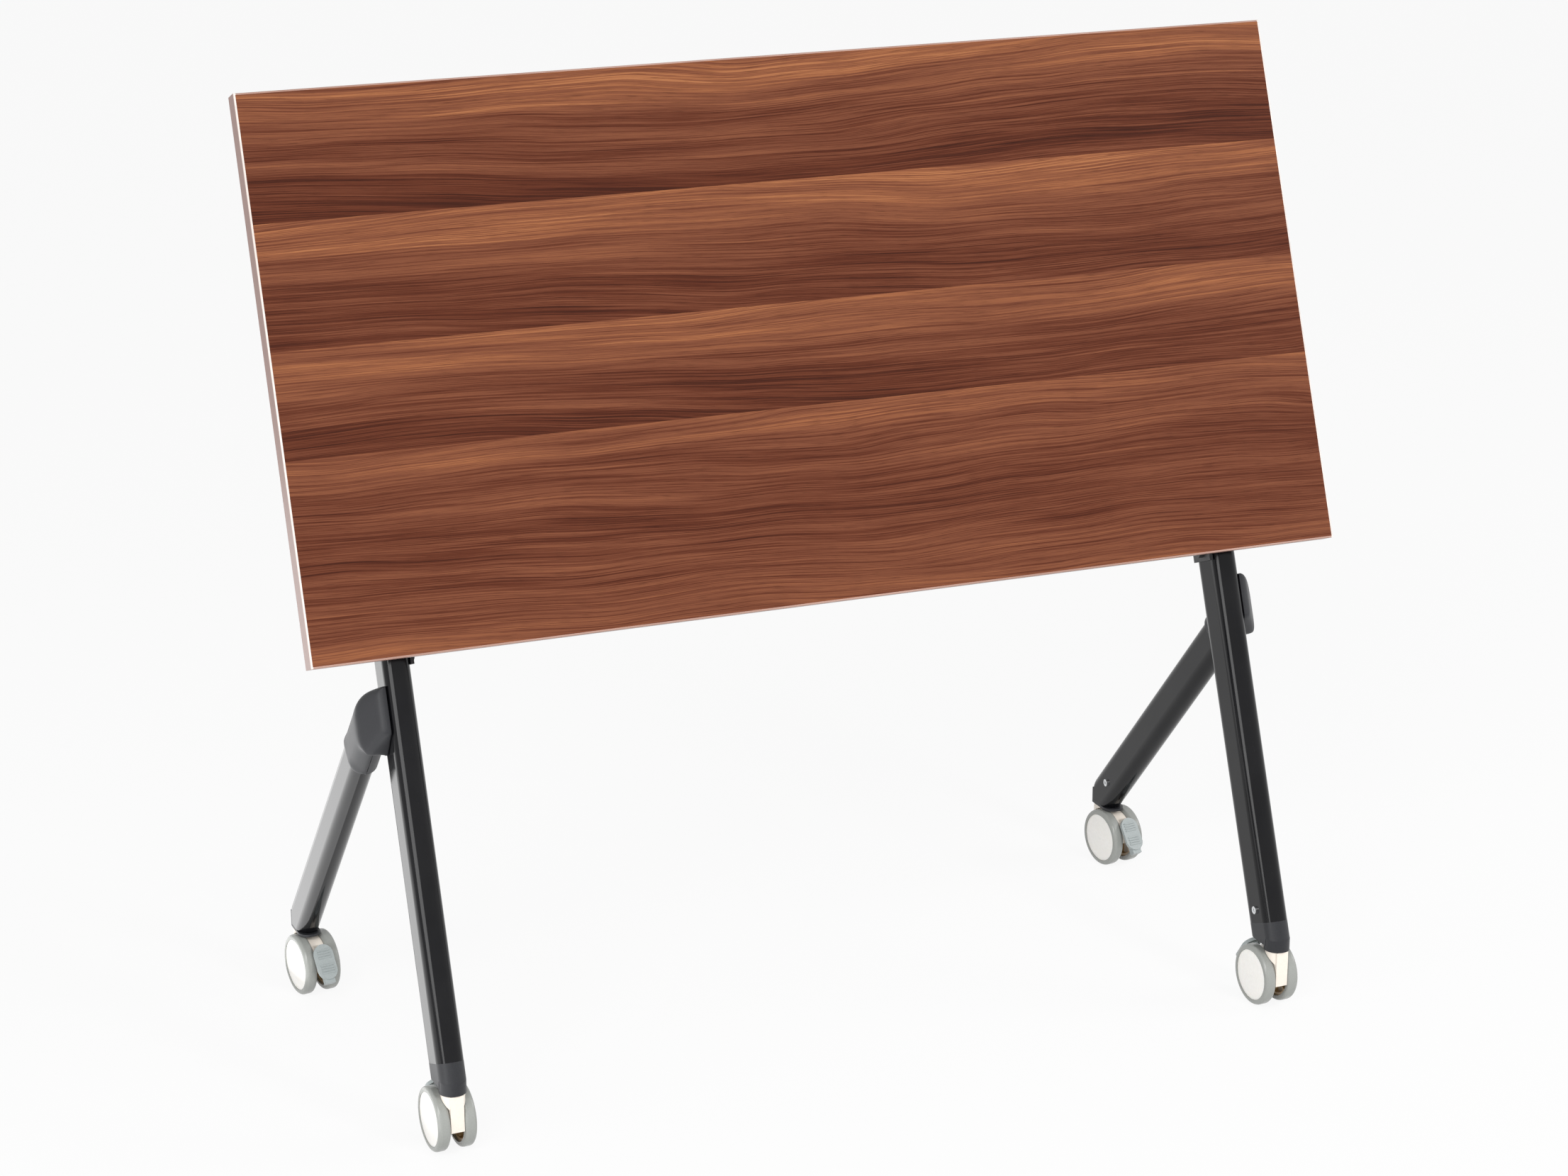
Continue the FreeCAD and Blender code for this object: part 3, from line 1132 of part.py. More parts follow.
def caster(name, x, swivel, heading):
    caster_hood(name, caster_placement(x, swivel, heading))
    centre = Vector(0, number("trail"), number(WHEEL_R))
    half_axle = "(wheel_gap / 2 + wheel_wide - hub_skin - seat)"
    left_end = Placement(centre - X_AXIS * number(half_axle), TO_RIGHT)
    keep(rod("axle_d", f"2 * {half_axle}", caster_placement(x, swivel, heading, left_end)), f"axle_{name}")
    pivot = centre + Vector(0, number("pedal_y"), number("pedal_z"))
    tilt = Rotation(X_AXIS, number("pedal_tilt"))
    brake_pedal(name, caster_placement(x, swivel, heading, Placement(pivot, tilt)))
    for wheel, turn in (("a", 180), ("b", 0)):
        outward = Rotation(Z_AXIS, turn)
        inner_face = centre + outward.multVec(X_AXIS) * number("wheel_gap / 2")
        place = caster_placement(x, swivel, heading, Placement(inner_face, outward))
        tyre(f"{name}_{wheel}", place)
        hub(f"{name}_{wheel}", place)


worktop_board()
edge_bands()
for name, side in SIDES:
    top_bracket(name, side)
bracket_fasteners()
release_shaft()
latch_hooks()
release_handles()
latch_springs()
for name, side in SIDES:
    leg_head(name, side)
    main_leg(name, side)
    rear_leg(name, side)
    knee_cover_outer(name, side)
    knee_cover_inner(name, side)
    foot_cap(name, side)
    foot_plug_rear(name, side)
pivot_bushes()
knee_bolts()
nut_plates()
crossbeam()
crossbeam_bolts()
leg_screws()
caster_stems()
for name, x, swivel, heading in CASTERS:
    caster(name, x, swivel, heading)

doc.recompute()
for item in doc.Objects:
    if "Invalid" in item.State or "Error" in item.State:
        raise RuntimeError(f"{item.Label} ({item.Name}) failed: {item.State}")
for node in nodes:
    if node.Shape.isNull() or not node.Shape.isValid():
        raise RuntimeError(f"{node.Label} has no valid shape")

os.makedirs("parts", exist_ok=True)
for node in nodes:
    node.Shape.exportStep(f"parts/{node.Label}.step")
    print(node.Label, len(node.Shape.Solids), round(node.Shape.Volume))
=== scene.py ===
import json
import math
import bmesh
import bpy
import numpy as np
from mathutils import Matrix, Vector
from mathutils.kdtree import KDTree


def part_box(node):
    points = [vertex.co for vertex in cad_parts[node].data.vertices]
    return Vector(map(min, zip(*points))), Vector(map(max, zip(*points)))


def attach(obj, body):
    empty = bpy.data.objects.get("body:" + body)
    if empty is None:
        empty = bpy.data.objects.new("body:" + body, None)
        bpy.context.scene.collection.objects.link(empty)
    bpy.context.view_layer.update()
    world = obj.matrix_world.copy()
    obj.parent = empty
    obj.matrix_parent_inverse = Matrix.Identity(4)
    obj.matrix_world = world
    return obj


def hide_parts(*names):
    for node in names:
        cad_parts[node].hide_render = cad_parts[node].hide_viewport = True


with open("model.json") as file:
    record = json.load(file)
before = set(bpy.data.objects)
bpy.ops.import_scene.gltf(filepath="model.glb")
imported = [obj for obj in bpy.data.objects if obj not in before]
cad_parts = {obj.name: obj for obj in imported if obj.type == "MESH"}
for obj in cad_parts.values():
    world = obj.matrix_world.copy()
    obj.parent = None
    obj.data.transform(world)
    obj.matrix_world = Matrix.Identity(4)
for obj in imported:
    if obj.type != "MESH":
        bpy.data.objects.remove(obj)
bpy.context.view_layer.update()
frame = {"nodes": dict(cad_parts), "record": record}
scene = bpy.context.scene
scene.view_settings.view_transform = "Standard"


# Studio floor: one pale sheet, swept wide under the desk so that no edge of it is seen.
# It shows white to the lens and to the gloss of the paint, and keeps a soft shadow.
def new_finish(name):
    """A material with nodes, its node tree and its shader."""
    material = bpy.data.materials.new(name)
    material.use_nodes = True
    tree = material.node_tree
    return material, tree, tree.nodes["Principled BSDF"]


def add_node(tree, kind, inputs=(), **settings):
    """A node of the tree with its settings and its input values or links."""
    made = tree.nodes.new(kind)
    for key, value in settings.items():
        setattr(made, key, value)
    for key, value in dict(inputs).items():
        if isinstance(value, bpy.types.NodeSocket):
            tree.links.new(value, made.inputs[key])
        else:
            made.inputs[key].default_value = value
    return made


def math_node(tree, operation, first, second=0.0):
    """The result of a sum or comparison of two values or sockets."""
    return add_node(tree, "ShaderNodeMath", {0: first, 1: second}, operation=operation).outputs[0]


def seen_directly(tree):
    """1 for rays from the lens or off a gloss, 0 for rays that only carry light."""
    seen = add_node(tree, "ShaderNodeLightPath")
    direct = math_node(tree, "MAXIMUM", seen.outputs["Is Camera Ray"], seen.outputs["Is Glossy Ray"])
    return math_node(tree, "MAXIMUM", direct, seen.outputs["Is Transmission Ray"])


floor_reach = 30
floor_glow_share = 0.9
floor_corners = [(side * floor_reach, depth * floor_reach, 0)
                 for side, depth in ((-1, -1), (1, -1), (1, 1), (-1, 1))]
floor_mesh = bpy.data.meshes.new("studio_floor")
floor_mesh.from_pydata(floor_corners, [], [(0, 1, 2, 3)])
floor = bpy.data.objects.new("studio_floor", floor_mesh)
scene.collection.objects.link(floor)
floor_paint, tree, shader = new_finish("studio_floor_paint")
shader.inputs["Base Color"].default_value = (0.85, 0.85, 0.85, 1)
shader.inputs["Roughness"].default_value = 0.9
seen = seen_directly(tree)
glow = add_node(tree, "ShaderNodeEmission", {"Color": (1, 1, 1, 1), "Strength": 1.0})
glow_share = math_node(tree, "MULTIPLY", seen, floor_glow_share)
blend = add_node(tree, "ShaderNodeMixShader", {0: glow_share, 1: shader.outputs[0], 2: glow.outputs[0]})
tree.links.new(blend.outputs[0], tree.nodes["Material Output"].inputs["Surface"])
floor_mesh.materials.append(floor_paint)

# Studio light: a white room, a broad soft lamp over the viewer's left shoulder, a tall lamp in front that
# stays out of reflections, soft lamps from the right and the left, and a panel on the floor beside the
# left legs that brightens their outer flats.
room = bpy.data.worlds.new("studio_room")
scene.world = room
room.use_nodes = True
tree = room.node_tree
room_light = tree.nodes["Background"]
room_light.inputs["Color"].default_value = (1, 1, 1, 1)
room_light.inputs["Strength"].default_value = 0.42
backdrop = add_node(tree, "ShaderNodeBackground", {"Color": (1, 1, 1, 1), "Strength": 1.0})
blend = add_node(tree, "ShaderNodeMixShader",
                 {0: seen_directly(tree), 1: room_light.outputs[0], 2: backdrop.outputs[0]})
tree.links.new(blend.outputs[0], tree.nodes["World Output"].inputs["Surface"])


def studio_lamp(name, place, aim, wide, tall, power):
    """A soft box lamp that faces a point of the desk."""
    lamp = bpy.data.lights.new(name, "AREA")
    lamp.shape = "RECTANGLE"
    lamp.size = wide
    lamp.size_y = tall
    lamp.energy = power
    holder = bpy.data.objects.new(name, lamp)
    scene.collection.objects.link(holder)
    holder.location = place
    holder.visible_camera = False
    holder.rotation_euler = (Vector(aim) - Vector(place)).to_track_quat("-Z", "Y").to_euler()
    return holder


studio_lamp("key_soft_box", (-2.6, -3.2, 3.4), (0, 0, 0.6), 2.2, 1.6, 95)
front_strip = studio_lamp("front_strip", (1.25, -3.6, 1.6), (0, 0, 0.5), 0.6, 1.6, 58)
front_strip.visible_glossy = False
studio_lamp("right_soft_box", (3.6, -1.4, 2.4), (0.2, 0, 0.5), 1.6, 1.6, 45)
studio_lamp("left_soft_box", (-3.4, -1.4, 0.9), (-0.2, 0, 0.25), 1.6, 1.2, 34)
studio_lamp("floor_panel", (-1.15, 0.85, 0.02), (-1.15, 0.85, 1.0), 1.2, 2.7, 12)

# Camera: a long lens from the viewer's left front, a little above the worktop and turned by
# a fraction of a degree about its own line of sight.
lens_place = Vector((-1.4901, -3.6585, 1.7554))
lens_aim = Vector((-0.1363, -0.3012, 0.5996))
lens_roll = math.radians(-0.269)
lens = bpy.data.cameras.new("photo_view")
lens.sensor_fit = "HORIZONTAL"
lens.sensor_width = 36
lens.lens = 84.77
camera = bpy.data.objects.new("photo_view", lens)
scene.collection.objects.link(camera)
camera.location = lens_place
turn = (lens_aim - lens_place).to_track_quat("-Z", "Y").to_matrix()
camera.rotation_euler = (turn @ Matrix.Rotation(lens_roll, 3, "Z")).to_euler()
scene.camera = camera


# Worktop board: particle board under a walnut-figured laminate, printed as four planks whose grain
# runs along the desk. Its underside has a plain brown backing sheet, to which the brackets are screwed.
lean = math.radians(21)
pivot = Vector((0, -0.0171, 0.677))
plank_edges = (-0.190, 0.0248, 0.1382, 0.272, 0.410)
plank_layers = (0.0, 3.7, 7.9, 12.3)
dip_starts = (0.10, 0.25, 0.30, 0.15)
dip_full = -0.62
dip_depths = (0.030, 0.055, 0.060, 0.050)
wander_depth = 0.058
backing_depth = (-0.0490, -0.0485)


def times(tree, value, factor):
    """A value made larger or smaller by a factor."""
    return math_node(tree, "MULTIPLY", value, factor)


def along_worktop(tree):
    """Coordinates of the worktop: along it, through it, and up its slope from the flip pivot."""
    place = add_node(tree, "ShaderNodeTexCoord").outputs["Object"]
    shifted = add_node(tree, "ShaderNodeVectorMath", {0: place, 1: pivot}, operation="SUBTRACT").outputs[0]
    turned = add_node(tree, "ShaderNodeMapping", {"Vector": shifted, "Rotation": (lean, 0, 0)})
    return add_node(tree, "ShaderNodeSeparateXYZ", {0: turned.outputs[0]}).outputs


def by_plank(tree, steps, values):
    """A value for each plank, from the lowest one up."""
    result = values[0]
    for step, low, high in zip(steps, values, values[1:]):
        result = math_node(tree, "ADD", times(tree, step, high - low), result)
    return result


def streaks(tree, along, across, layer, detail, roughness):
    """Noise stretched along the grain."""
    at = add_node(tree, "ShaderNodeCombineXYZ", {0: along, 1: across, 2: layer}).outputs[0]
    return add_node(tree, "ShaderNodeTexNoise",
                    {"Vector": at, "Scale": 1.0, "Detail": detail, "Roughness": roughness}).outputs["Fac"]


def colour_bands(tree, value, stops):
    """Colours set out along a value from 0 to 1."""
    ramp = add_node(tree, "ShaderNodeValToRGB", {0: value})
    points = ramp.color_ramp.elements
    while len(points) < len(stops):
        points.new(0.5)
    for point, (place, colour) in zip(points, stops):
        point.position = place
        point.color = (*colour, 1)
    return ramp.outputs[0]


def mix_colour(tree, way, amount, under, over):
    """Two colours blended in a given way."""
    mixed = add_node(tree, "ShaderNodeMix", data_type="RGBA", blend_type=way)
    for key, value in ((0, amount), (6, under), (7, over)):
        if isinstance(value, bpy.types.NodeSocket):
            tree.links.new(value, mixed.inputs[key])
        else:
            mixed.inputs[key].default_value = value
    return mixed.outputs[2]


def dress(material, *nodes):
    """Gives CAD nodes a finish."""
    for name in nodes:
        mesh = frame["nodes"][name].data
        mesh.materials.clear()
        mesh.materials.append(material)


laminate, tree, shader = new_finish("walnut_laminate")
x, through, up = along_worktop(tree)
steps = [math_node(tree, "GREATER_THAN", up, edge) for edge in plank_edges[1:-1]]
low = by_plank(tree, steps, plank_edges[:-1])
tall = by_plank(tree, steps, [top - bottom for bottom, top in zip(plank_edges, plank_edges[1:])])
layer = by_plank(tree, steps, plank_layers)
in_plank = math_node(tree, "SUBTRACT", up, low)
share = math_node(tree, "DIVIDE", in_plank, tall)
wander = streaks(tree, times(tree, x, 2.2), times(tree, up, 7.0), layer, 2.0, 0.45)
left_share = add_node(tree, "ShaderNodeMapRange",
                      {"Value": x, "From Min": by_plank(tree, steps, dip_starts), "From Max": dip_full},
                      interpolation_type="SMOOTHSTEP").outputs[0]
dip_here = times(tree, left_share, by_plank(tree, steps, dip_depths))
dip = times(tree, dip_here, math_node(tree, "SUBTRACT", 1.0, share))
wandering = math_node(tree, "ADD", in_plank, times(tree, wander, wander_depth))
across = math_node(tree, "SUBTRACT", wandering, dip)


def grain_lines(tree, lengthwise, crosswise, shift, first, last):
    """Thin lines along the grain, 0 on a line and 1 beside it."""
    noise = streaks(tree, times(tree, x, lengthwise), times(tree, across, crosswise),
                    math_node(tree, "ADD", layer, shift), 3.0, 0.62)
    return add_node(tree, "ShaderNodeMapRange", {"Value": noise, "From Min": first, "From Max": last},
                    interpolation_type="SMOOTHSTEP").outputs[0]


def tone_sum(tree, tone, part, middle, weight):
    """The tone made lighter or darker by a part of the figure."""
    centred = math_node(tree, "SUBTRACT", part, middle)
    return math_node(tree, "ADD", tone, times(tree, centred, weight))


low_tone = colour_bands(tree, share, [
    (0.0, (0.62, 0.62, 0.62)), (0.3, (0.46, 0.46, 0.46)), (0.55, (0.34, 0.34, 0.34)),
    (0.8, (0.52, 0.52, 0.52)), (1.0, (0.68, 0.68, 0.68))])
high_tone = colour_bands(tree, share, [
    (0.0, (0.22, 0.22, 0.22)), (0.35, (0.40, 0.40, 0.40)), (0.7, (0.63, 0.63, 0.63)),
    (1.0, (0.78, 0.78, 0.78))])
plank_tone = mix_colour(tree, "MIX", steps[0], low_tone, high_tone)
broad = streaks(tree, times(tree, x, 1.6), times(tree, across, 42.0), layer, 4.0, 0.65)
tone = tone_sum(tree, plank_tone, broad, 0.5, 1.15)
fine = grain_lines(tree, 2.6, 420.0, 20.0, 0.39, 0.52)
tone = tone_sum(tree, tone, fine, 0.6, 0.21)
finest = grain_lines(tree, 6.0, 1000.0, 40.0, 0.41, 0.55)
tone = tone_sum(tree, tone, finest, 0.6, 0.24)
pale = grain_lines(tree, 2.0, 240.0, 60.0, 0.56, 0.74)
tone = tone_sum(tree, tone, pale, 0.1, 0.20)
figure = colour_bands(tree, tone, [
    (0.0, (0.042, 0.011, 0.006)), (0.15, (0.066, 0.016, 0.008)), (0.35, (0.106, 0.029, 0.014)),
    (0.5, (0.139, 0.044, 0.023)), (0.65, (0.175, 0.059, 0.030)), (0.8, (0.221, 0.078, 0.037)),
    (0.93, (0.284, 0.104, 0.045)), (1.0, (0.350, 0.138, 0.059))])
pores = streaks(tree, times(tree, x, 45.0), times(tree, across, 1500.0), layer, 2.0, 0.5)
pore_shade = colour_bands(tree, pores, [(0.33, (0.45, 0.40, 0.38)), (0.43, (1.0, 1.0, 1.0))])
pored = mix_colour(tree, "MULTIPLY", 0.5, figure, pore_shade)
gloss = add_node(tree, "ShaderNodeMapRange", {"Value": fine, "To Min": 0.56, "To Max": 0.46}).outputs[0]
tree.links.new(gloss, shader.inputs["Roughness"])
shader.inputs["Specular IOR Level"].default_value = 0.10
behind = add_node(tree, "ShaderNodeMapRange",
                  {"Value": through, "From Min": backing_depth[0], "From Max": backing_depth[1]}).outputs[0]
fibres = streaks(tree, times(tree, x, 60.0), times(tree, up, 260.0), 3.0, 3.0, 0.6)
backing = colour_bands(tree, fibres, [(0.30, (0.100, 0.046, 0.028)), (0.70, (0.138, 0.066, 0.041))])
tree.links.new(mix_colour(tree, "MIX", behind, pored, backing), shader.inputs["Base Color"])
emboss = add_node(tree, "ShaderNodeBump", {"Strength": 0.10, "Distance": 0.0004, "Height": pores})
tree.links.new(emboss.outputs[0], shader.inputs["Normal"])
dress(laminate, "tabletop_board")

# Edge bands: thin plain plastic strips glued round the board, a shade pinker than the laminate,
# with a rounded arris that carries a painted highlight, pale along the sides and paler still at the two ends.
arris_highlight_depth = (-0.0712, -0.0724)
end_from = 0.5975
banding, tree, shader = new_finish("edge_band_plastic")
x, through, up = along_worktop(tree)
drag = streaks(tree, times(tree, x, 5.0), times(tree, through, 420.0), times(tree, up, 5.0), 3.0, 0.6)
plain = colour_bands(tree, drag, [
    (0.30, (0.175, 0.088, 0.070)), (0.55, (0.210, 0.110, 0.088)), (0.75, (0.250, 0.135, 0.110))])
# Painted highlight: the band's front arris is coloured pale where a lamp would glint off its rounding, paler
# at the two ends.
arris_highlight_mask = add_node(tree, "ShaderNodeMapRange",
                 {"Value": through, "From Min": arris_highlight_depth[0], "From Max": arris_highlight_depth[1]}).outputs[0]
at_end = math_node(tree, "GREATER_THAN", math_node(tree, "ABSOLUTE", x), end_from)
side_arris_highlight = colour_bands(tree, drag, [(0.30, (0.36, 0.21, 0.165)), (0.70, (0.46, 0.29, 0.24))])
end_arris_highlight = colour_bands(tree, drag, [(0.30, (0.66, 0.57, 0.52)), (0.70, (0.80, 0.73, 0.69))])
painted_arris_highlight = mix_colour(tree, "MIX", at_end, side_arris_highlight, end_arris_highlight)
tree.links.new(mix_colour(tree, "MIX", arris_highlight_mask, plain, painted_arris_highlight), shader.inputs["Base Color"])
gloss = add_node(tree, "ShaderNodeMapRange", {"Value": drag, "To Min": 0.30, "To Max": 0.42}).outputs[0]
tree.links.new(gloss, shader.inputs["Roughness"])
emboss = add_node(tree, "ShaderNodeBump", {"Strength": 0.08, "Distance": 0.0003, "Height": drag})
tree.links.new(emboss.outputs[0], shader.inputs["Normal"])
dress(banding, "edge_bands")


# Worktop brackets, leg heads and crossbeam: pressed, cast and welded steel in a satin black powder coat,
# screwed under the worktop, plugged into the legs and bolted between them.
def grain_noise(tree, scale, detail=2.0, roughness=0.5):
    """Even grain in the desk's own coordinates."""
    place = add_node(tree, "ShaderNodeTexCoord").outputs["Object"]
    return add_node(tree, "ShaderNodeTexNoise",
                    {"Vector": place, "Scale": scale, "Detail": detail, "Roughness": roughness}).outputs["Fac"]


def moulded(name, dark, light, scale, rough, bump, depth):
    """A finish whose colour, gloss and surface all follow one fine grain."""
    material, tree, shader = new_finish(name)
    grain = grain_noise(tree, scale, 4.0, 0.6)
    tree.links.new(colour_bands(tree, grain, [(0.30, dark), (0.70, light)]), shader.inputs["Base Color"])
    gloss = add_node(tree, "ShaderNodeMapRange", {"Value": grain, "To Min": rough[0], "To Max": rough[1]})
    tree.links.new(gloss.outputs[0], shader.inputs["Roughness"])
    raised = add_node(tree, "ShaderNodeBump", {"Strength": bump, "Distance": depth, "Height": grain})
    tree.links.new(raised.outputs[0], shader.inputs["Normal"])
    return material, tree, shader


powder_coat = moulded("satin_black_powder_coat", (0.013, 0.013, 0.014), (0.026, 0.026, 0.028),
                      900.0, (0.38, 0.52), 0.25, 0.0004)[0]
dress(powder_coat, "top_bracket_left", "top_bracket_right", "leg_head_left", "leg_head_right", "crossbeam")

# Pivot pins, release shaft, latch hooks and springs, caster stems and axles: steel with a bright zinc
# plate that is slightly clouded, turned or pressed, and riveted or pushed in place.
zinc_plate, _, shader = moulded("bright_zinc_plate", (0.58, 0.59, 0.60), (0.80, 0.81, 0.82),
                                240.0, (0.20, 0.38), 0.12, 0.0002)
shader.inputs["Metallic"].default_value = 1.0
dress(zinc_plate, "pivot_pins", "release_shaft", "latch_hooks", "latch_springs", "caster_stems")
caster_names = ("front_left", "front_right", "rear_left", "rear_right")
dress(zinc_plate, *[f"axle_{name}" for name in caster_names])

# Wood screws of the brackets and thread-forming screws of the legs: zinc-plated pan heads, each with a
# pressed cross recess for the driver, turned into the board and through the tubes into the plugs.
recess_arm = 0.0023
recess_half_width = 0.00055
recess_depth = 0.0012
tool_above = 0.0005
same_point = 0.000001
sharp_edge = math.radians(35)
quarter_turns = ((1, 0), (0, 1), (-1, 0), (0, -1))


def screw_heads(made, axis):
    """The middle of each screw's head and the way that it faces, for screws along one axis."""
    made.verts.ensure_lookup_table()
    seen_points = set()
    heads = []
    for first in made.verts:
        if first.index in seen_points:
            continue
        seen_points.add(first.index)
        screw = [first]
        for point in screw:
            for edge in point.link_edges:
                other = edge.other_vert(point)
                if other.index not in seen_points:
                    seen_points.add(other.index)
                    screw.append(other)
        side = axis.orthogonal().normalized()
        spans = []
        for way in (side, axis.cross(side), axis):
            reaches = [point.co.dot(way) for point in screw]
            spans.append((way, min(reaches), max(reaches)))
        middle = sum((way * (low + high) / 2 for way, low, high in spans), Vector())
        widest = max(screw, key=lambda point: round((point.co - middle).cross(axis).length, 6))
        facing = axis if (widest.co - middle).dot(axis) > 0 else -axis
        heads.append((middle + facing * (spans[2][2] - spans[2][1]) / 2, facing))
    return heads


def recessed_screws(node, axis, body):
    """Screws with a driver's cross cut into every head."""
    made = bmesh.new()
    made.from_mesh(frame["nodes"][node].data)
    bmesh.ops.remove_doubles(made, verts=made.verts, dist=same_point)
    cutter = bmesh.new()
    for top, facing in screw_heads(made, axis):
        side = facing.orthogonal().normalized()
        cross = facing.cross(side)
        outline = []
        for along_side, along_cross in quarter_turns:
            ahead = side * along_side + cross * along_cross
            arm_end = ahead * recess_arm
            beside = facing.cross(ahead) * recess_half_width
            outline += [arm_end - beside, arm_end + beside, ahead * recess_half_width + beside]
        rings = [[cutter.verts.new(top + facing * level + point) for point in outline]
                 for level in (tool_above, -recess_depth)]
        cutter.faces.new(rings[0])
        cutter.faces.new(rings[1][::-1])
        for index in range(len(outline)):
            after = (index + 1) % len(outline)
            cutter.faces.new((rings[0][index], rings[1][index], rings[1][after], rings[0][after]))
    screws = bpy.data.objects.new(f"recessed_{node}", bpy.data.meshes.new(f"recessed_{node}"))
    tool = bpy.data.objects.new("recess_tool", bpy.data.meshes.new("recess_tool"))
    for source, target in ((made, screws), (cutter, tool)):
        source.to_mesh(target.data)
        source.free()
        scene.collection.objects.link(target)
    cut = screws.modifiers.new("driver_recess", "BOOLEAN")
    cut.object = tool
    cut.operation = "DIFFERENCE"
    cut.solver = "EXACT"
    bpy.context.view_layer.update()
    finished = bpy.data.meshes.new_from_object(screws.evaluated_get(bpy.context.evaluated_depsgraph_get()))
    screws.modifiers.clear()
    screws.data = finished
    bpy.data.objects.remove(tool)
    if "custom_normal" in finished.attributes:
        finished.attributes.remove(finished.attributes["custom_normal"])
    finished.shade_smooth()
    finished.set_sharp_from_angle(angle=sharp_edge)
    finished.materials.clear()
    finished.materials.append(zinc_plate)
    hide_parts(node)
    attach(screws, body)


recessed_screws("leg_screws", Vector((1, 0, 0)), "frame")
recessed_screws("bracket_screws", Vector((0, math.cos(lean), -math.sin(lean))), "top")

# Crossbeam and knee bolts, nut plates: high-tensile steel with a black phosphate finish, dull and slightly
# mottled, turned tight into the beam's end plates and the lapped leg tubes.
black_steel = moulded("black_phosphate_steel", (0.018, 0.018, 0.019), (0.040, 0.040, 0.042),
                      380.0, (0.34, 0.52), 0.18, 0.0002)[0]
dress(black_steel, "crossbeam_bolts", "knee_bolts", "nut_plates")

# Release handles and pivot bushes: the paddles are matte black mouldings clamped on the release shaft,
# the bushes are plain nylon sleeves pressed into the leg heads.
paddle_plastic = moulded("matte_black_paddle", (0.020, 0.020, 0.022), (0.036, 0.036, 0.038),
                         1400.0, (0.48, 0.62), 0.35, 0.0003)[0]
dress(paddle_plastic, "release_handles")
nylon = moulded("natural_nylon", (0.66, 0.65, 0.60), (0.76, 0.75, 0.71),
                500.0, (0.35, 0.5), 0.1, 0.0002)[0]
dress(nylon, "pivot_bushes")

# Legs: flat-oval steel tube in a gloss black stoved paint with a slight orange peel. The rear tube
# laps the outer flat of the front one and is bolted to it inside the knee cover.
leg_paint, tree, shader = new_finish("gloss_black_stoved_paint")
peel = grain_noise(tree, 170.0, 2.0, 0.5)
cloud = grain_noise(tree, 14.0, 3.0, 0.6)
black = colour_bands(tree, cloud, [(0.3, (0.003, 0.003, 0.004)), (0.7, (0.007, 0.007, 0.008))])
tree.links.new(black, shader.inputs["Base Color"])
gloss = add_node(tree, "ShaderNodeMapRange", {"Value": cloud, "To Min": 0.07, "To Max": 0.12}).outputs[0]
tree.links.new(gloss, shader.inputs["Roughness"])
raised = add_node(tree, "ShaderNodeBump", {"Strength": 0.02, "Distance": 0.0004, "Height": peel})
tree.links.new(raised.outputs[0], shader.inputs["Normal"])
shader.inputs["IOR"].default_value = 1.30
dress(leg_paint, "main_leg_left", "main_leg_right", "rear_leg_left", "rear_leg_right")

# Knee covers and feet: dark blue-grey mouldings with a fine spark-eroded grain. The two halves of a cover
# clip together round the rear tube, the caps and plugs are pushed into the tubes.
cover_plastic, _, shader = moulded("grained_dark_grey_plastic", (0.015, 0.0155, 0.018), (0.029, 0.030, 0.034),
                                   1500.0, (0.36, 0.48), 0.30, 0.0003)
shader.inputs["Specular IOR Level"].default_value = 0.32
for part in ("knee_cover_outer", "knee_cover_inner", "foot_cap", "foot_plug"):
    dress(cover_plastic, f"{part}_left", f"{part}_right")
cover_seam = 0.521
rear_lean = math.radians(43)
rear_leg_down = np.array((0.0, math.sin(rear_lean), -math.cos(rear_lean)))
skin_step = 0.001
rim_band = 0.0015
rim_facing = 0.9
rim_hold = 0.003
rim_blend = 0.008
smoothing_pull = 0.5
smoothing_rounds = 150


def soft_cover(node, outward):
    """The outer half of a knee cover with its creases drawn into one flowing moulded skin."""
    source = frame["nodes"][node]
    piece = bpy.data.objects.new(f"soft_{node}", source.data.copy())
    scene.collection.objects.link(piece)
    even = piece.modifiers.new("even_skin", "REMESH")
    even.mode = "VOXEL"
    even.voxel_size = skin_step
    bpy.context.view_layer.update()
    skin = bpy.data.meshes.new_from_object(piece.evaluated_get(bpy.context.evaluated_depsgraph_get()))
    piece.modifiers.clear()
    piece.data = skin
    points = np.array([point.co for point in skin.vertices])
    ends = np.array([edge.vertices for edge in skin.edges])
    ends = np.vstack((ends, ends[:, ::-1]))
    shares = np.bincount(ends[:, 0], minlength=len(points))
    facing = np.array([point.normal for point in skin.vertices])
    low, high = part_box(node)
    lap_plane = high.x if outward < 0 else low.x
    to_planes = np.minimum(abs(points[:, 0] - lap_plane), abs(points[:, 0] - outward * cover_seam))
    seam_rim = (to_planes < rim_band) & (facing[:, 0] * outward < -rim_facing)
    down = points @ rear_leg_down
    rim = seam_rim | (down > down.max() - rim_band)
    rim_tree = KDTree(int(rim.sum()))
    for place in points[rim]:
        rim_tree.insert(place, 0)
    rim_tree.balance()
    from_rim = np.array([rim_tree.find(place)[2] for place in points])
    give = smoothing_pull * np.clip((from_rim - rim_hold) / rim_blend, 0, 1)[:, None]
    for _ in range(smoothing_rounds):
        near = [np.bincount(ends[:, 0], points[ends[:, 1], axis], len(points)) for axis in range(3)]
        points += give * (np.stack(near, axis=1) / shares[:, None] - points)
    skin.vertices.foreach_set("co", points.ravel())
    skin.polygons.foreach_set("use_smooth", [True] * len(skin.polygons))
    skin.update()
    skin.materials.clear()
    skin.materials.append(cover_plastic)
    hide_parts(node)
    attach(piece, "frame")


soft_cover("knee_cover_outer_left", -1)
soft_cover("knee_cover_outer_right", 1)
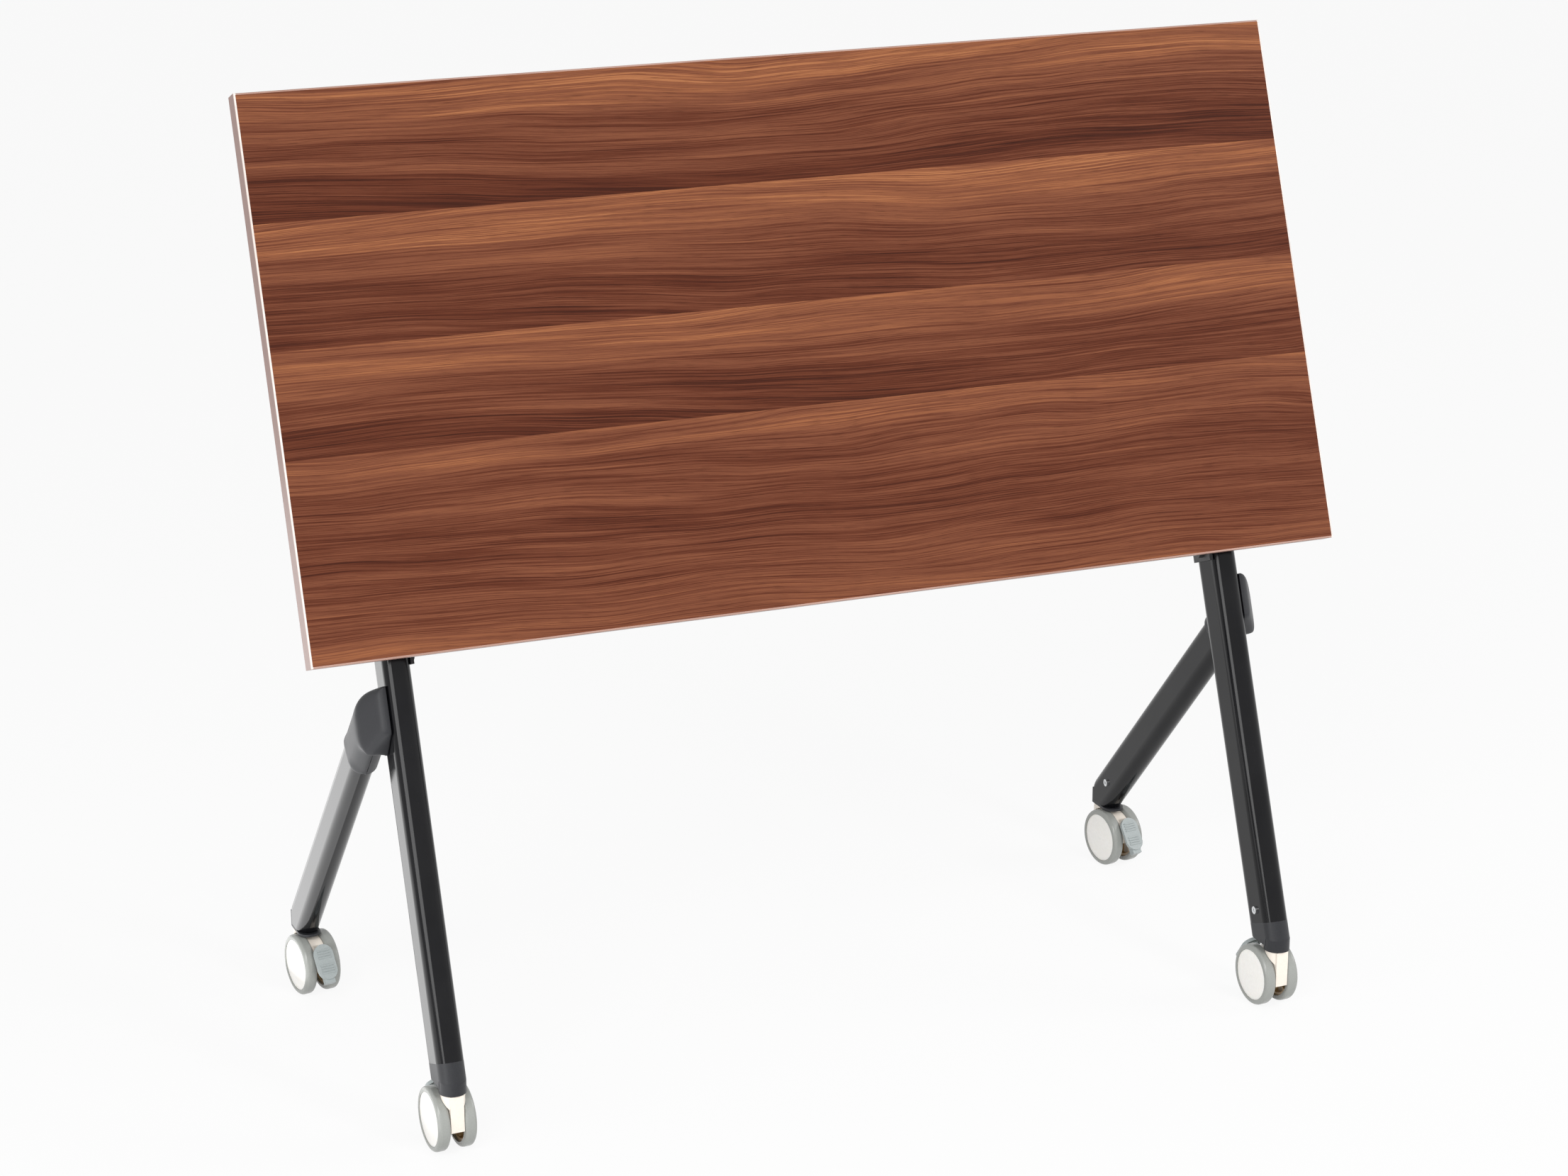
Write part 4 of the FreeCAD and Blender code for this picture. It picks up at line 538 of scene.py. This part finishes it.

# Casters: cream moulded hoods, white hubs with a painted warm tan shade on the inner side, grey tyres pressed
# on the hubs, and a pale blue-grey brake pedal hinged in each hood. The stems stand in sockets in the feet.
disc_depth = (0.004, 0.005)
joints = {joint["name"]: joint for joint in frame["record"]["behaviour"]["joints"]}


def hub_plastic(wheel):
    """White on the hub's outer disc, with a painted warm tan shade where its inner side shows."""
    joint = joints[f"roll_{wheel}"]
    axle = Vector(joint["axis"]).normalized()
    middle = Vector(joint["pos_m"])
    reach = [(point.co - middle).dot(axle) for point in frame["nodes"][f"hub_{wheel}"].data.vertices]
    outward = axle if abs(max(reach)) > abs(min(reach)) else -axle
    disc_face = max(abs(max(reach)), abs(min(reach)))
    material, tree, shader = moulded(f"white_hub_painted_shade_{wheel}", (0.89, 0.87, 0.83), (0.94, 0.925, 0.89),
                                     320.0, (0.28, 0.36), 0.05, 0.0002)
    white = shader.inputs["Base Color"].links[0].from_socket
    place = add_node(tree, "ShaderNodeTexCoord").outputs["Object"]
    offset = add_node(tree, "ShaderNodeVectorMath", {0: place, 1: middle}, operation="SUBTRACT").outputs[0]
    along = add_node(tree, "ShaderNodeVectorMath", {0: offset, 1: outward}, operation="DOT_PRODUCT")
    # Painted shade: the hub's inner side is coloured tan to stand for the warm, shaded bounce light between
    # the wheels, not for a colour of the plastic.
    inner_shade_mask = add_node(tree, "ShaderNodeMapRange",
                      {"Value": along.outputs["Value"], "From Min": disc_face - disc_depth[0],
                       "From Max": disc_face - disc_depth[1]}).outputs[0]
    inner_shade_grain = grain_noise(tree, 260.0)
    painted_warm_shade = colour_bands(tree, inner_shade_grain, [(0.3, (0.50, 0.335, 0.165)), (0.7, (0.62, 0.43, 0.225))])
    tree.links.new(mix_colour(tree, "MIX", inner_shade_mask, white, painted_warm_shade), shader.inputs["Base Color"])
    shader.inputs["Subsurface Weight"].default_value = 0.08
    shader.inputs["Subsurface Radius"].default_value = (0.004, 0.003, 0.002)
    return material


hood_plastic = moulded("warm_cream_hood_plastic", (0.82, 0.745, 0.655), (0.87, 0.80, 0.715),
                       600.0, (0.30, 0.38), 0.05, 0.0002)[0]
tyre_rubber = moulded("grey_tyre", (0.285, 0.295, 0.278), (0.325, 0.335, 0.316),
                      1100.0, (0.20, 0.27), 0.06, 0.0002)[0]
pedal_plastic = moulded("blue_grey_pedal", (0.31, 0.345, 0.345), (0.37, 0.405, 0.405),
                        700.0, (0.36, 0.46), 0.12, 0.0002)[0]
for name in caster_names:
    dress(hood_plastic, f"caster_hood_{name}")
    for wheel in (f"{name}_a", f"{name}_b"):
        dress(hub_plastic(wheel), f"hub_{wheel}")
    dress(tyre_rubber, f"tyre_{name}_a", f"tyre_{name}_b")
    dress(pedal_plastic, f"brake_pedal_{name}")
